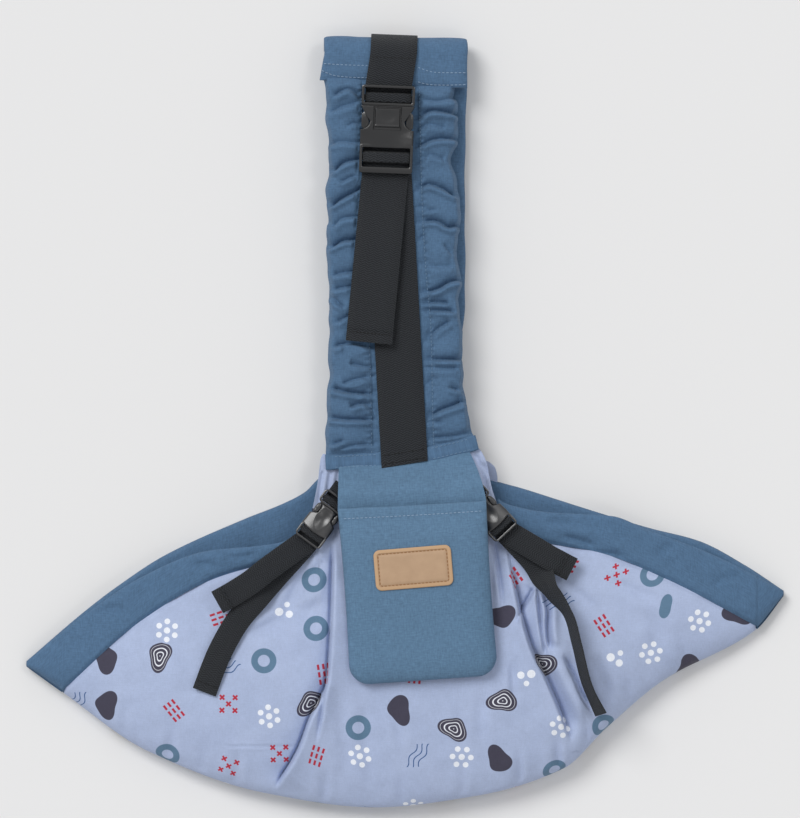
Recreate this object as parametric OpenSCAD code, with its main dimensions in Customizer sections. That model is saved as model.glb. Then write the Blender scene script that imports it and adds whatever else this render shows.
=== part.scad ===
// Side-sling baby carrier, laid flat on its back: a padded shoulder strap folded in half,
// a gathered sleeve with webbing and a release buckle, and a pouch open along both side rails.
// Millimetres. +Z is up, the strap points to +Y, the floor is z = 0.

/* [Webbing] */
// Width of the shoulder webbing
shoulder_web_w = 38; // [30:0.5:40]
// Thickness of the shoulder webbing
shoulder_web_t = 1.4; // [1:0.1:1.8]
// Width of the side webbing
side_web_w = 20; // [15:0.5:22]
// Thickness of the side webbing
side_web_t = 1.2; // [0.8:0.1:1.4]
// Length of a folded tail end along its webbing
tail_hem = 9; // [6:0.5:12]
// Length of the shoulder tail past the adjuster
shoulder_tail_len = 141; // [60:1:180]

/* [Shoulder strap] */
// Thickness of the padded strap
pad_t = 15; // [10:0.5:20]
// Half width of the padded strap at its middle
pad_half_w = 55.5; // [50:0.5:60]
// How much wider each side of the pad is at the top fold
pad_top_flare = 4; // [0:0.5:8]
// How much wider each side of the pad is at the pouch
pad_low_flare = 7.5; // [4:0.5:10]
// Thickness of the pad's cloth cover
cover_t = 1.5; // [1:0.1:2.5]
// Height of the strap's top fold above the middle of the carrier
strap_top = 313.6; // [300:0.1:330]
// Length of the flap that comes over the fold to the front
flap_len = 20; // [14:1:30]
// Thickness of the gathered sleeve in its channel under the webbing
sleeve_t = 15; // [10:0.5:20]
// Height of the sleeve's puffs over its channel
puff_h = 2; // [0.5:0.1:2.2]
// Depth of the sleeve's gathers
gather_depth = 4; // [1:0.1:6]
// Number of main gathers along the sleeve
gathers = 14; // [8:1:18]
// How far the sleeve's right edge lies inside the pad's
sleeve_inset = 6; // [2:0.5:10]
// Width of the hem band at the pouch
band_w = 12; // [9:0.5:14]
// Thickness of the hem band
band_t = 2.8; // [2:0.1:3.5]

/* [Pouch] */
// Thickness of the quilted panels and rails
panel_t = 4; // [3:0.1:5]
// Height of the pouch's crown above its neck
crown_rise = 21.5; // [16:0.5:30]
// Height of the pouch at its tips
tip_h = 10; // [9:0.5:14]
// Height of the bottom seam at its middle
seam_h = 19.5; // [12:0.5:24]

/* [Pocket] */
// Width of the pocket
pocket_w = 119; // [110:1:124]
// Length of the pocket's front panel
pocket_l = 142; // [120:1:150]
// Corner radius of the pocket
pocket_r = 12; // [6:0.5:20]
// Thickness of a pocket panel
pocket_t = 2.5; // [1.5:0.1:3]
// Depth of the room inside the pocket
pocket_room = 9; // [8:0.5:14]
// Width of the label patch
label_w = 63; // [40:1:80]
// Height of the label patch
label_h = 32; // [20:1:50]
// Thickness of the label patch
label_t = 1.8; // [1:0.1:3]
// Corner radius of the label patch
label_r = 5; // [2:0.5:8]

/* [Shoulder buckle] */
// Thickness of the shoulder buckle
big_th = 9; // [8:0.2:11]
// Length of the shoulder buckle's female body
big_body = 34; // [32:0.5:40]
// Width of the centre push button
button_w = 20.4; // [14:0.2:21]
// Length of the centre push button
button_l = 15.5; // [10:0.5:17]

/* [Side buckles] */
// Thickness of a side buckle
small_th = 7.4; // [7:0.2:8.4]
// Length of a side buckle's female body
small_body = 19; // [18.5:0.5:22]

/* [Fits] */
// Clearance between pieces that rest on each other
rest_gap = 0.3; // [0.2:0.05:0.4]
// Side clearance of webbing in a slot
slot_gap = 0.4; // [0.3:0.05:0.8]
// Running clearance inside a buckle
run_gap = 0.3; // [0.2:0.05:0.4]

/* [Hidden] */
$fn = 48;

cloth_blue = [0.34, 0.46, 0.57];
print_lilac = [0.65, 0.71, 0.84];
web_black = [0.2, 0.21, 0.22];
buckle_black = [0.12, 0.12, 0.13];
leather_tan = [0.76, 0.62, 0.46];
foam_white = [0.9, 0.9, 0.86];

// Heights that stack up from the floor through the strap
fold_z = pad_t + rest_gap;
sleeve_z = fold_z + 2 * rest_gap;
channel_z = sleeve_z + sleeve_t;
under_web_z = channel_z + 2 * rest_gap;
over_web_z = under_web_z + shoulder_web_t + rest_gap;
big_z = over_web_z + shoulder_web_t + slot_gap;
band_z = channel_z + rest_gap - band_t;
neck_h = band_z - slot_gap;
crown_h = neck_h + crown_rise;
side_z = neck_h + 11;
pocket_tilt = 1.2;
pocket_z = max(crown_h, side_z + small_th + 3) + rest_gap;

// Outlines of the pouch seen from above, each a curve y(x) through these points
bottom_pts = [
    [-311, -201], [-280, -223], [-213, -269], [-115, -304], [-25, -315.7],
    [60, -306], [130, -284], [165, -251], [212, -212], [288, -171], [311, -143]
];
front_edge_pts = [
    [-311, -196.5], [-265, -160], [-215, -126.6], [-164, -106], [-104, -99], [-83, -84],
    [-73.5, -48], [-69, -34], [0, -31], [56, -19], [62, -27], [74, -46], [87, -66], [114, -73.5],
    [169, -77], [200, -89], [246, -106], [311, -138.5]
];
front_seam_pts = [
    [-280, -219.5], [-215, -162], [-158, -129], [-110, -113], [-84, -103],
    [-79, -72], [-73.5, -48], [-69, -34], [0, -31], [56, -19], [62, -27], [74, -46], [79, -62], [84, -86],
    [121, -100], [156, -106], [215, -129], [288, -167.5]
];
back_edge_pts = [
    [-311, -196.5], [-265, -157], [-239, -137], [-198, -110], [-131, -77], [-84, -56],
    [-66, -40], [0, -38.6], [66, -40], [84, -52], [154, -73], [200, -87],
    [242, -98], [280, -118], [311, -138.5]
];
back_seam_pts = [
    [-280, -219.5], [-215, -155], [-150, -120], [-84, -86], [-69, -79], [-68.4, -42], [0, -38.6],
    [68.4, -42], [69, -76], [84, -82], [150, -106], [215, -126], [288, -167.5]
];
half_span = 311;
left_corner = -280;
right_corner = 288;
rail_start = 84;
rail_steps = 9;

left_cols = [for (i = [0:rail_steps]) left_corner + (-rail_start - left_corner) * i / rail_steps];
right_cols = [for (i = [0:rail_steps]) rail_start + (right_corner - rail_start) * i / rail_steps];
front_neck_cols = [-81, -77, -73.5, -69, -60, -45, -30, -15, 0, 15, 30, 45, 56, 59, 62, 68, 74, 79];
back_left_neck = [-79, -74, -69];
back_right_neck = [69, 74, 79];
back_neck_cols = concat(back_left_neck, [-68.4, -45, -20, 0, 20, 45, 68.4], back_right_neck);
left_tip_cols = [-311, -303, -292];
right_tip_cols = [295, 303, 311];
front_cols = concat(left_cols, front_neck_cols, right_cols);
back_cols = concat(left_cols, back_neck_cols, right_cols);
panel_rows = [for (j = [0:11]) pow(j / 11, 1.5)];
rail_rows = [for (j = [0:3]) j / 3];

// Small helpers
function mix(a, b, t) = a + (b - a) * t;
function flat(rows) = [for (r = rows) each r];
function unit(v) = v / norm(v);

// A smooth curve y(x) through points: cubic pieces whose slopes keep each span monotone
function span(x, pts, i = 0) = i >= len(pts) - 2 || x < pts[i + 1].x ? i : span(x, pts, i + 1);
function secant(pts, i) = (pts[i + 1].y - pts[i].y) / (pts[i + 1].x - pts[i].x);
function knot_slope(pts, i) =
    i == 0 ? secant(pts, 0) :
    i == len(pts) - 1 ? secant(pts, i - 1) :
    let (a = secant(pts, i - 1), b = secant(pts, i))
    a * b <= 0 ? 0 : 2 * a * b / (a + b);
function curve_y(x, pts) =
    let (i = span(x, pts), w = pts[i + 1].x - pts[i].x, t = (x - pts[i].x) / w)
    pts[i].y * (2 * pow(t, 3) - 3 * t * t + 1) + knot_slope(pts, i) * w * (pow(t, 3) - 2 * t * t + t)
    + pts[i + 1].y * (3 * t * t - 2 * pow(t, 3)) + knot_slope(pts, i + 1) * w * (pow(t, 3) - t * t);

// A smooth path through points in the plane, sampled n times a span
function path_point(p, i, t) =
    let (a = p[max(i - 1, 0)], b = p[i], c = p[i + 1], d = p[min(i + 2, len(p) - 1)])
    b + (c - a) / 2 * t + (a - 2.5 * b + 2 * c - d / 2) * t * t
    + (-a / 2 + 1.5 * b - 1.5 * c + d / 2) * pow(t, 3);
function smooth_path(p, n) =
    concat([for (i = [0:len(p) - 2]) for (k = [0:n - 1]) path_point(p, i, k / n)], [p[len(p) - 1]]);

// Past the pouch's corners the rails fold into the tips
function at_tip(x) = x < left_corner || x > right_corner;

// The pouch's bulge: a dome share that falls to 0 at the two tips
function dome(x) = max(0, 1 - pow(x / half_span, 2));
function crown_z(x) = tip_h + (crown_h - tip_h) * pow(dome(x), 0.9);
function rail_z(x) = tip_h - 0.4 + (neck_h - tip_h + 0.4) * pow(dome(x), 0.7);
function seam_z(x) = tip_h * 0.45 + (seam_h - tip_h * 0.45) * dome(x);
crown_place = 0.42;
// Height between the bottom seam (v = 0), the crown and the rail or neck (v = 1), less a depth d
function front_profile(x, v, d) =
    v < crown_place
    ? seam_z(x) + (crown_z(x) - d - seam_z(x)) * pow(1 - pow(1 - max(v, 0) / crown_place, 2.2), 1 / 2.2)
    : rail_z(x) - d
        + (crown_z(x) - rail_z(x)) * pow(cos(90 * (min(v, 1) - crown_place) / (1 - crown_place)), 2);
function share(y, low, high) = (y - low) / (high - low);
function inset(x) = min(1.5 * panel_t,
    0.3 * (curve_y(x, at_tip(x) ? front_edge_pts : front_seam_pts) - curve_y(x, bottom_pts)));
front_out_z = function (x, y)
    front_profile(x, share(y, curve_y(x, bottom_pts), curve_y(x, front_edge_pts)), 0);
front_in_z = function (x, y)
    front_profile(x, share(y, curve_y(x, bottom_pts) + inset(x), curve_y(x, front_edge_pts)), panel_t);
// The back lies on the floor and turns up in a quarter round to the bottom seam
function turn_up(d, r) = d >= r ? 0 : 1 - sqrt(max(0, 1 - pow(1 - max(d, 0) / r, 2)));
function turn_r(x) = 1.4 * seam_z(x) + 4;
back_out_z = function (x, y) seam_z(x) * turn_up(y - curve_y(x, bottom_pts), turn_r(x));
back_in_z = function (x, y)
    let (t = min(panel_t, 0.8 * seam_z(x)))
    t + (seam_z(x) - t) * turn_up(y - curve_y(x, bottom_pts) - inset(x), turn_r(x));

// Closed solids from grids of points
function halves(q) = [[q[0], q[1], q[2]], [q[0], q[2], q[3]]];
module slab(top, bottom) {
    nu = len(top);
    nv = len(top[0]);
    n = nu * nv;
    quads = concat(
        [for (i = [0:nu - 2]) for (j = [0:nv - 2])
            [i * nv + j, i * nv + j + 1, (i + 1) * nv + j + 1, (i + 1) * nv + j]],
        [for (i = [0:nu - 2]) for (j = [0:nv - 2])
            [n + (i + 1) * nv + j, n + (i + 1) * nv + j + 1, n + i * nv + j + 1, n + i * nv + j]],
        [for (i = [0:nu - 2]) [i * nv, (i + 1) * nv, n + (i + 1) * nv, n + i * nv]],
        [for (i = [0:nu - 2])
            [(i + 2) * nv - 1, (i + 1) * nv - 1, n + (i + 1) * nv - 1, n + (i + 2) * nv - 1]],
        [for (j = [0:nv - 2]) [j + 1, j, n + j, n + j + 1]],
        [for (j = [0:nv - 2])
            [n - nv + j, n - nv + j + 1, 2 * n - nv + j + 1, 2 * n - nv + j]]
    );
    polyhedron(concat(flat(top), flat(bottom)), [for (q = quads) each halves(q)]);
}

module tube(rings) {
    k = len(rings);
    m = len(rings[0]);
    quads = [for (i = [0:k - 2]) for (j = [0:m - 1])
        [i * m + j, i * m + (j + 1) % m, (i + 1) * m + (j + 1) % m, (i + 1) * m + j]];
    end = (k - 1) * m;
    caps = [for (j = [1:m - 2]) each [[0, j + 1, j], [end, end + j, end + j + 1]]];
    polyhedron(flat(rings), concat([for (q = quads) each halves(q)], caps));
}

// A flat strip of webbing bent along a path in its own Y-Z plane
module ribbon(path, w, t) {
    last = len(path) - 1;
    normals = [for (i = [0:last])
        let (d = unit(path[min(i + 1, last)] - path[max(i - 1, 0)])) [-d.y, d.x] * t / 2];
    rotate([90, 0, 90]) linear_extrude(height = w, center = true)
        polygon(concat([for (i = [0:last]) path[i] + normals[i]],
            [for (i = [last:-1:0]) path[i] - normals[i]]));
}
function arc(c, r, a0, a1, n = 6) = [for (i = [0:n])
    let (a = mix(a0, a1, i / n))
    c + r * [cos(a), sin(a)]];

// Webbing laid along a path on the pouch, banked by an angle about its own run
module laid_strap(path, w, t, lift, banks) {
    last = len(path) - 1;
    tube([for (i = [0:last])
        let (
            d = unit(path[min(i + 1, last)] - path[max(i - 1, 0)]),
            side = [-d.y, d.x] * w / 2,
            b = banks[i],
            p = path[i],
            z0 = lift[i] + abs(sin(b)) * w / 2,
            e = [side.x * cos(b), side.y * cos(b), sin(b) * w / 2],
            u = [-side.x * sin(b) * 2 / w, -side.y * sin(b) * 2 / w, cos(b)] * t,
            c = [p.x, p.y, z0]
        )
        [c - e, c - e + u, c + e + u, c + e]]);
}

// A plan outline with round corners
module rounded(w, l, r) {
    square([w - 2 * r, l], center = true);
    square([w, l - 2 * r], center = true);
    for (x = [-1, 1]) for (y = [-1, 1]) translate([x * (w / 2 - r), y * (l / 2 - r)]) circle(r);
}

// Shoulder strap
strap_low = -38;
bend_y = strap_top - fold_z;
function strap_x(y) = -3 - 5.5 * (y - strap_low) / 354;
function pad_half(y) = pad_half_w
    + pad_top_flare * pow(max(0, (y - 220) / 96), 2) + pad_low_flare * pow(max(0, (60 - y) / 98), 2);
// Places along the pad: up the back half, round the fold and down the flap, as [y, turn]
pad_run = concat(
    [for (i = [0:8]) [mix(strap_low, bend_y, i / 8), 0]],
    [for (i = [1:8]) [bend_y, 180 * i / 8]],
    [[bend_y - flap_len, 180]]
);
// One closed ring across the pad: a rounded bar whose sides draw in, less a depth d all round
function pad_ring(y, turn, d) = [for (k = [0:15])
    let (
        a = 360 * k / 16 + 11.25,
        sx = sign(cos(a)) * pow(abs(cos(a)), 0.35),
        sz = sign(sin(a)) * pow(abs(sin(a)), 0.5),
        x = strap_x(y) + (pad_half(y) - d) * sx,
        r = fold_z - pad_t / 2 - (pad_t / 2 - d) * sz
    )
    [x, y + sin(turn) * r, fold_z - cos(turn) * r]];
module pad_solid(d, trim) {
    rings = [for (p = pad_run) pad_ring(p[0], p[1], d)];
    last = len(rings) - 1;
    tube([for (i = [0:last]) [for (q = rings[i]) q + [0, i == 0 || i == last ? trim : 0, 0]]]);
}
module shoulder_pad() {
    color(cloth_blue) difference() {
        pad_solid(0, 0);
        pad_solid(cover_t, cover_t);
    }
}
module shoulder_foam() {
    color(foam_white) pad_solid(cover_t + rest_gap, cover_t + rest_gap);
}

// Gathered sleeve: two puffed sides with a flat channel between them for the webbing
sleeve_top_y = bend_y - flap_len - 1;
// The neck's hem as a curve y(x) through these points, along the middle of its band
band_pts = [[-66, -33], [-62, -32.4], [-27, -31], [0, -29], [25, -25], [56, -17.4], [60, -16.4]];
function sleeve_low_y(x) = curve_y(x, band_pts) + band_w / 2 + 4 * rest_gap;
sleeve_rows = 61;
// Each puff as shares of the half width: its middle and half its spread
puff_mid = 0.7;
puff_half = 0.3;
edge_drop = 5;
edge_wave = 1.6;
edge_lift = 4;
// The gathers fade out over this length below the flap
calm_l = 12;
sleeve_u = [-1, -0.9, -0.68, -0.42, 0, 0.42, 0.68, 0.9, 1];
function sleeve_right_in(y) = sleeve_inset * min(1, max(0, (y + 20) / 60));
function sleeve_half(y) = pad_half(y) - sleeve_right_in(y) / 2;
function sleeve_x(y, u) = strap_x(y) - sleeve_right_in(y) / 2 + sleeve_half(y) * u;
// Gathers run across the sleeve and wander a little from one side to the other
function gather(y, u) =
    let (phase = 180 * gathers * (y / 300) + 40 * sin(y * 1.7 + 90 * u) + 55 * u)
    pow(abs(sin(phase)), 0.7);
function sleeve_top(y, u) =
    let (
        puff = pow(max(0, 1 - pow((abs(u) - puff_mid) / puff_half, 2)), 0.5),
        calm = min(1, (sleeve_top_y - y) / calm_l)
    )
    abs(u) < puff_mid - puff_half + 0.03 ? channel_z :
    channel_z + puff_h * puff - gather_depth * (1 - gather(y, u)) * calm - edge_drop * (1 - puff);
module gathered_sleeve() {
    spots = [for (i = [0:sleeve_rows - 1]) i / (sleeve_rows - 1)];
    edge = function (y, u) abs(u) < 1 ? 0 : edge_wave * (gather(y, u) - 1);
    y_at = function (s, u) mix(sleeve_low_y(pad_half(strap_low) * u), sleeve_top_y, s);
    color(cloth_blue) slab(
        [for (u = sleeve_u) [for (s = spots) let (y = y_at(s, u))
            [sleeve_x(y, u) + sign(u) * edge(y, u), y, sleeve_top(y, u)]]],
        [for (u = sleeve_u) [for (s = spots) let (y = y_at(s, u))
            [sleeve_x(y, u) + sign(u) * edge(y, u), y, sleeve_z + (abs(u) == 1 ? edge_lift : 0)]]]
    );
}

// Hem band over the sleeve's lower end and the pouch's neck
band_half = pad_half_w + pad_low_flare;
band_cols = [for (i = [0:14]) strap_x(strap_low) + band_half * (i / 7 - 1)];
band_edge = function (s) function (x) curve_y(x, band_pts) + s * band_w / 2;
module neck_hem_band() {
    low = band_edge(-1);
    high = band_edge(1);
    color(cloth_blue) slab(
        grid(band_cols, [0, 1], low, high, function (x, y) band_z + band_t),
        grid(band_cols, [0, 1], low, high, function (x, y) band_z)
    );
}

// Pouch panels and rails
function grid(cols, rows, low, high, z) =
    [for (x = cols) [for (r = rows) let (y = mix(low(x), high(x), r)) [x, y, z(x, y)]]];
bottom_y = function (x) curve_y(x, bottom_pts);
inner_bottom_y = function (x) curve_y(x, bottom_pts) + inset(x);
front_seam = function (x) curve_y(x, front_seam_pts);
back_seam = function (x) curve_y(x, back_seam_pts);
front_edge = function (x) curve_y(x, front_edge_pts);
back_edge = function (x) curve_y(x, back_edge_pts);
// A rail starts at the seam, or past the pouch's corner at the folded tip
rail_low_front = function (x) at_tip(x) ? bottom_y(x) : front_seam(x);
rail_low_front_in = function (x) at_tip(x) ? inner_bottom_y(x) : front_seam(x);
rail_low_back = function (x) at_tip(x) ? bottom_y(x) : back_seam(x);
rail_low_back_in = function (x) at_tip(x) ? inner_bottom_y(x) : back_seam(x);

module front_panel() {
    color(print_lilac) slab(
        grid(front_cols, panel_rows, bottom_y, front_seam, front_out_z),
        grid(front_cols, panel_rows, inner_bottom_y, front_seam, front_in_z)
    );
}
module back_panel() {
    color(print_lilac) slab(
        grid(back_cols, panel_rows, inner_bottom_y, back_seam, back_in_z),
        grid(back_cols, panel_rows, bottom_y, back_seam, back_out_z)
    );
}
module front_rail(cols) {
    color(cloth_blue) slab(
        grid(cols, rail_rows, rail_low_front, front_edge, front_out_z),
        grid(cols, rail_rows, rail_low_front_in, front_edge, front_in_z)
    );
}
module back_rail(cols) {
    color(cloth_blue) slab(
        grid(cols, rail_rows, rail_low_back_in, back_edge, back_in_z),
        grid(cols, rail_rows, rail_low_back, back_edge, back_out_z)
    );
}
module front_left_rail() { front_rail(concat(left_tip_cols, left_cols)); }
module front_right_rail() { front_rail(concat(right_cols, right_tip_cols)); }
module back_left_rail() { back_rail(concat(left_tip_cols, left_cols, back_left_neck)); }
module back_right_rail() { back_rail(concat(back_right_neck, right_cols, right_tip_cols)); }

// Pocket, in a frame of its own on the crown, hung from the middle of its mouth
pocket_mouth = [4.05, -68.2];
pocket_turn = 4;
module on_pocket() {
    translate([pocket_mouth.x, pocket_mouth.y, pocket_z]) rotate(pocket_turn) translate([0, -pocket_l / 2, 0])
        rotate([-pocket_tilt, 0, 0]) children();
}
// The back panel goes on past the mouth as a flap that drops to the neck's hem over its second half
// and draws in at its upper right
pocket_flap = 46;
flap_steps = 12;
flap_level = 18;
flap_fall = 20;
flap_top_right = 47;
flap_gap = 2.6;
pocket_drop = pocket_z - pocket_tilt * 2 - neck_h - slot_gap;
module pocket_flap() {
    half = pocket_w / 2;
    on_pocket() intersection() {
        ribbon([for (i = [0:flap_steps])
            let (y = pocket_flap * i / flap_steps, s = min(1, max(0, (y - flap_level) / flap_fall)))
            [pocket_l / 2 - 0.5 + y, pocket_t / 2 - pocket_drop * pow(sin(90 * s), 2)]
        ], pocket_w, pocket_t);
        linear_extrude(3 * pocket_z, center = true) translate([0, pocket_l / 2 - 0.5])
            polygon([[-half, 0], [half, 0], [flap_top_right, pocket_flap], [4 - half, pocket_flap]]);
    }
}
module pocket_back() {
    color(cloth_blue) union() {
        on_pocket() linear_extrude(pocket_t) {
            rounded(pocket_w, pocket_l, pocket_r);
            translate([-pocket_w / 2, 0]) square([pocket_w, pocket_l / 2]);
        }
        // The flap stops short of the hem's lower edge
        difference() {
            pocket_flap();
            linear_extrude(2 * pocket_z) polygon(concat(
                [for (x = band_cols) [x, curve_y(x, band_pts) - band_w / 2 - flap_gap]],
                [[band_half, strap_top], [-band_half, strap_top]]
            ));
        }
    }
}
module pocket_front() {
    z = pocket_t;
    color(cloth_blue) on_pocket() difference() {
        translate([0, 0, z]) linear_extrude(pocket_room + pocket_t) union() {
            rounded(pocket_w, pocket_l, pocket_r);
            translate([-pocket_w / 2, 0]) square([pocket_w, pocket_l / 2]);
        }
        translate([0, 0, z - 1]) linear_extrude(pocket_room + 1) union() {
            rounded(pocket_w - 2 * pocket_t, pocket_l - 2 * pocket_t, pocket_r - pocket_t);
            translate([-pocket_w / 2 + pocket_t, 0]) square([pocket_w - 2 * pocket_t, pocket_l]);
        }
    }
}
// The label's middle lies this far below the mouth
label_down = 51.5;
module label_patch() {
    color(leather_tan) on_pocket() translate([-1.3, pocket_l / 2 - label_down, 2 * pocket_t + pocket_room])
        linear_extrude(label_t) rotate(0.7) rounded(label_w, label_h, label_r);
}

// Side-release buckles. Own frame: +y towards the male half, mouth at y = 0, z = 0 underneath.
// A buckle is described by this list of its sizes. The shoulder buckle's male half has the shorter loop.
function buckle(
    web_w, web_t, th, body, slot, bar, rim, wall, plate, throat, window, bulge, bulge_at, pivot_in
) = [web_w, web_t, th, body, slot, bar, rim, wall, plate, throat, window, bulge, bulge_at, pivot_in];
function b_web_w(b) = b[0];
function b_web_t(b) = b[1];
function b_th(b) = b[2];
function b_body(b) = b[3];
function b_slot(b) = b[4];
function b_bar(b) = b[5];
function b_rim(b) = b[6];
function b_wall(b) = b[7];
function b_plate(b) = b[8];
function b_throat(b) = b[9];
function b_window(b) = b[10];
function b_bulge(b) = b[11];
function b_bulge_at(b) = b[12];
function b_pivot_in(b) = b[13];
function b_open(b) = b_web_w(b) + 2 * slot_gap;
function b_w(b) = b_open(b) + 2 * b_wall(b);
function b_loop(b) = 2 * b_slot(b) + b_bar(b) + b_rim(b);
function b_inner(b) = b_w(b) / 2 - b_wall(b);
function big_buckle(slot, bar, rim) =
    buckle(shoulder_web_w, shoulder_web_t, big_th, big_body, slot, bar, rim, 2.4, 1.5, 3, 20, 2, 16, 2.6);
big = big_buckle(5.4, 5, 5);
big_short = big_buckle(3.4, 3.2, 2.4);
small = buckle(side_web_w, side_web_t, small_th, small_body, 3.2, 2.8, 1.8, 2, 1.3, 2.5, 15, 1.5, 12, 2);
bar_z0 = 1;
bar_h = 2.6;
base_l = 4.5;
end_wall = 2;
tongue_share = 0.45;
tongue_t = 2;
scallop_share = 0.62;
scallop_out = 0.55;
dish_r = 14;
dish_depth = 0.8;
barrel_r = 1.6;
pivot_y = 1.9;

// A frame with two slots and a lowered bar between them, from y = 0 outwards
module adjuster(b) {
    open_w = b_open(b);
    difference() {
        linear_extrude(b_th(b)) translate([0, b_loop(b) / 2]) rounded(b_w(b), b_loop(b), 1.5);
        translate([-open_w / 2, -1, -1]) cube([open_w, b_loop(b) - b_rim(b) + 1, b_th(b) + 2]);
    }
    linear_extrude(b_th(b)) for (s = [-1, 1])
        translate([s * (b_w(b) - b_wall(b)) / 2, b_loop(b) / 4])
            square([b_wall(b), b_loop(b) / 2], center = true);
    translate([-open_w / 2 - 0.5, b_slot(b), bar_z0]) cube([open_w + 1, b_bar(b), bar_h]);
}

module buckle_female(b, dished) {
    h = b_th(b) - 2 * b_plate(b);
    mid = (b_throat(b) + b_window(b)) / 2;
    scallop_r = (b_window(b) - b_throat(b)) * scallop_share;
    difference() {
        translate([-b_w(b) / 2, -b_body(b), 0]) cube([b_w(b), b_body(b), b_th(b)]);
        translate([-b_inner(b), -b_body(b) + end_wall, b_plate(b)]) cube([2 * b_inner(b), b_body(b), h]);
        for (s = [-1, 1]) {
            translate([s * b_w(b) / 2, -mid, b_th(b) / 2])
                cube([2 * b_wall(b) + 1, b_window(b) - b_throat(b), h], center = true);
            translate([s * (b_w(b) / 2 + scallop_r * scallop_out), -mid, -1])
                cylinder(r = scallop_r, h = b_th(b) + 2);
        }
        if (dished) translate([0, 1, b_th(b) + dish_r - dish_depth]) rotate([90, 0, 0])
            cylinder(r = dish_r, h = b_body(b) - end_wall);
        if (!dished) translate([-button_w / 2 - run_gap, -button_y - button_l - run_gap, b_th(b) / 2])
            cube([button_w + 2 * run_gap, button_l + 2 * run_gap, b_th(b)]);
    }
    translate([0, -b_body(b), 0]) rotate(180) adjuster(b);
}

module buckle_male(b) {
    px = arm_pivot_x(b);
    h = b_th(b) - 2 * b_plate(b);
    tongue = b_body(b) * tongue_share;
    difference() {
        translate([-b_w(b) / 2, 0, 0]) cube([b_w(b), base_l, b_th(b)]);
        for (s = [-1, 1]) {
            translate([s * px, pivot_y, b_plate(b)]) cylinder(r = barrel_r + run_gap, h = h);
            translate([s * (px - 0.4), pivot_y / 2 - 0.5, b_th(b) / 2])
                cube([2 * barrel_r + 2, pivot_y + 1, h], center = true);
        }
    }
    translate([-b_inner(b) / 4, -tongue, b_plate(b) + run_gap])
        cube([b_inner(b) / 2, tongue + 1, tongue_t]);
    translate([0, base_l, 0]) adjuster(b);
}

// A sprung arm: barrel at the root, a pad that bulges into the side window, a rounded tip
function arm_pivot_x(b) = b_inner(b) - b_pivot_in(b);
module buckle_arm(b, s) {
    out = b_inner(b) - run_gap;
    px = arm_pivot_x(b);
    far = b_bulge_at(b) + 1.5;
    bulge = out + b_bulge(b);
    h = b_th(b) - 2 * b_plate(b) - 2 * run_gap;
    translate([0, 0, b_plate(b) + run_gap]) mirror([s < 0 ? 1 : 0, 0, 0]) {
        translate([px, pivot_y, 0]) cylinder(r = barrel_r, h = h);
        linear_extrude(h) polygon([
            [px - 1.2, pivot_y], [px - 1.2, -2], [px - 1.6, -far], [px - 0.4, -far - 2.5],
            [out - 0.6, -far - 2], [bulge, -far + 0.5], [bulge, -b_bulge_at(b)],
            [out, -b_throat(b) - 3], [px + 1.4, -0.8], [px + 1.2, pivot_y]
        ]);
    }
}

// Webbing over an adjuster's bar: it rises by the slot next to the body, drops by the outer one and
// leaves under the rim. y runs outwards from the body's end.
bend_r = 1.6;
function upper_layer(b) = -slot_gap - b_web_t(b) / 2;
function lower_layer(b) = upper_layer(b) - b_web_t(b) - rest_gap;
function over_bar(b) =
    let (
        t = b_web_t(b),
        top = bar_z0 + bar_h + rest_gap + t / 2,
        y1 = b_slot(b) / 2,
        y2 = b_slot(b) * 1.5 + b_bar(b),
        r = b_slot(b) / 2 - 0.6
    )
    concat(
        arc([y1 + r, top - r], r, 180, 90),
        arc([y2 - r, top - r], r, 90, 0),
        arc([y2 + bend_r, upper_layer(b) + bend_r], bend_r, 180, 270),
        [[b_loop(b) + 1, upper_layer(b)]]
    );
// The doubled end of a sewn loop: back under the frame by a length and up to the bar
function loop_start(b, l) =
    concat([[b_slot(b) / 2 + bend_r + l, lower_layer(b)]],
        arc([b_slot(b) / 2 + bend_r, lower_layer(b) + bend_r], bend_r, 270, 180));
// The start of a tail: it stands on the layer below
function tail_start(b) = [[b_slot(b) / 2, upper_layer(b) - b_web_t(b) / 2]];

// Places of the buckles: origin at the mouth, turn about +Z, height of the underside
big_at = [-13.9, 257.4, big_z];
big_turn = -2.2;
left_at = [-62.7, -73.1, side_z];
left_turn = -36;
right_at = [62.9, -68.4, side_z];
right_turn = 43;
button_y = 2;
module at_buckle(place, turn) {
    translate(place) rotate(turn) children();
}
function from_buckle(place, turn, p) =
    [place.x + p.x * cos(turn) - p.y * sin(turn), place.y + p.x * sin(turn) + p.y * cos(turn)];

module shoulder_buckle_male() { color(buckle_black) at_buckle(big_at, big_turn) buckle_male(big_short); }
module shoulder_buckle_female() {
    color(buckle_black) at_buckle(big_at, big_turn) buckle_female(big, false);
}
module shoulder_arm_left() { color(buckle_black) at_buckle(big_at, big_turn) buckle_arm(big, -1); }
module shoulder_arm_right() { color(buckle_black) at_buckle(big_at, big_turn) buckle_arm(big, 1); }
module shoulder_button() {
    z = b_th(big) - b_plate(big) - run_gap;
    color(buckle_black) at_buckle(big_at, big_turn) translate([0, -button_y - button_l / 2, 0]) {
        translate([0, 0, z - 1]) linear_extrude(b_plate(big) + run_gap + 1 + 0.6)
            rounded(button_w, button_l, 2);
    }
}

// Shoulder webbing
sewn_l = 14;
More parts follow.
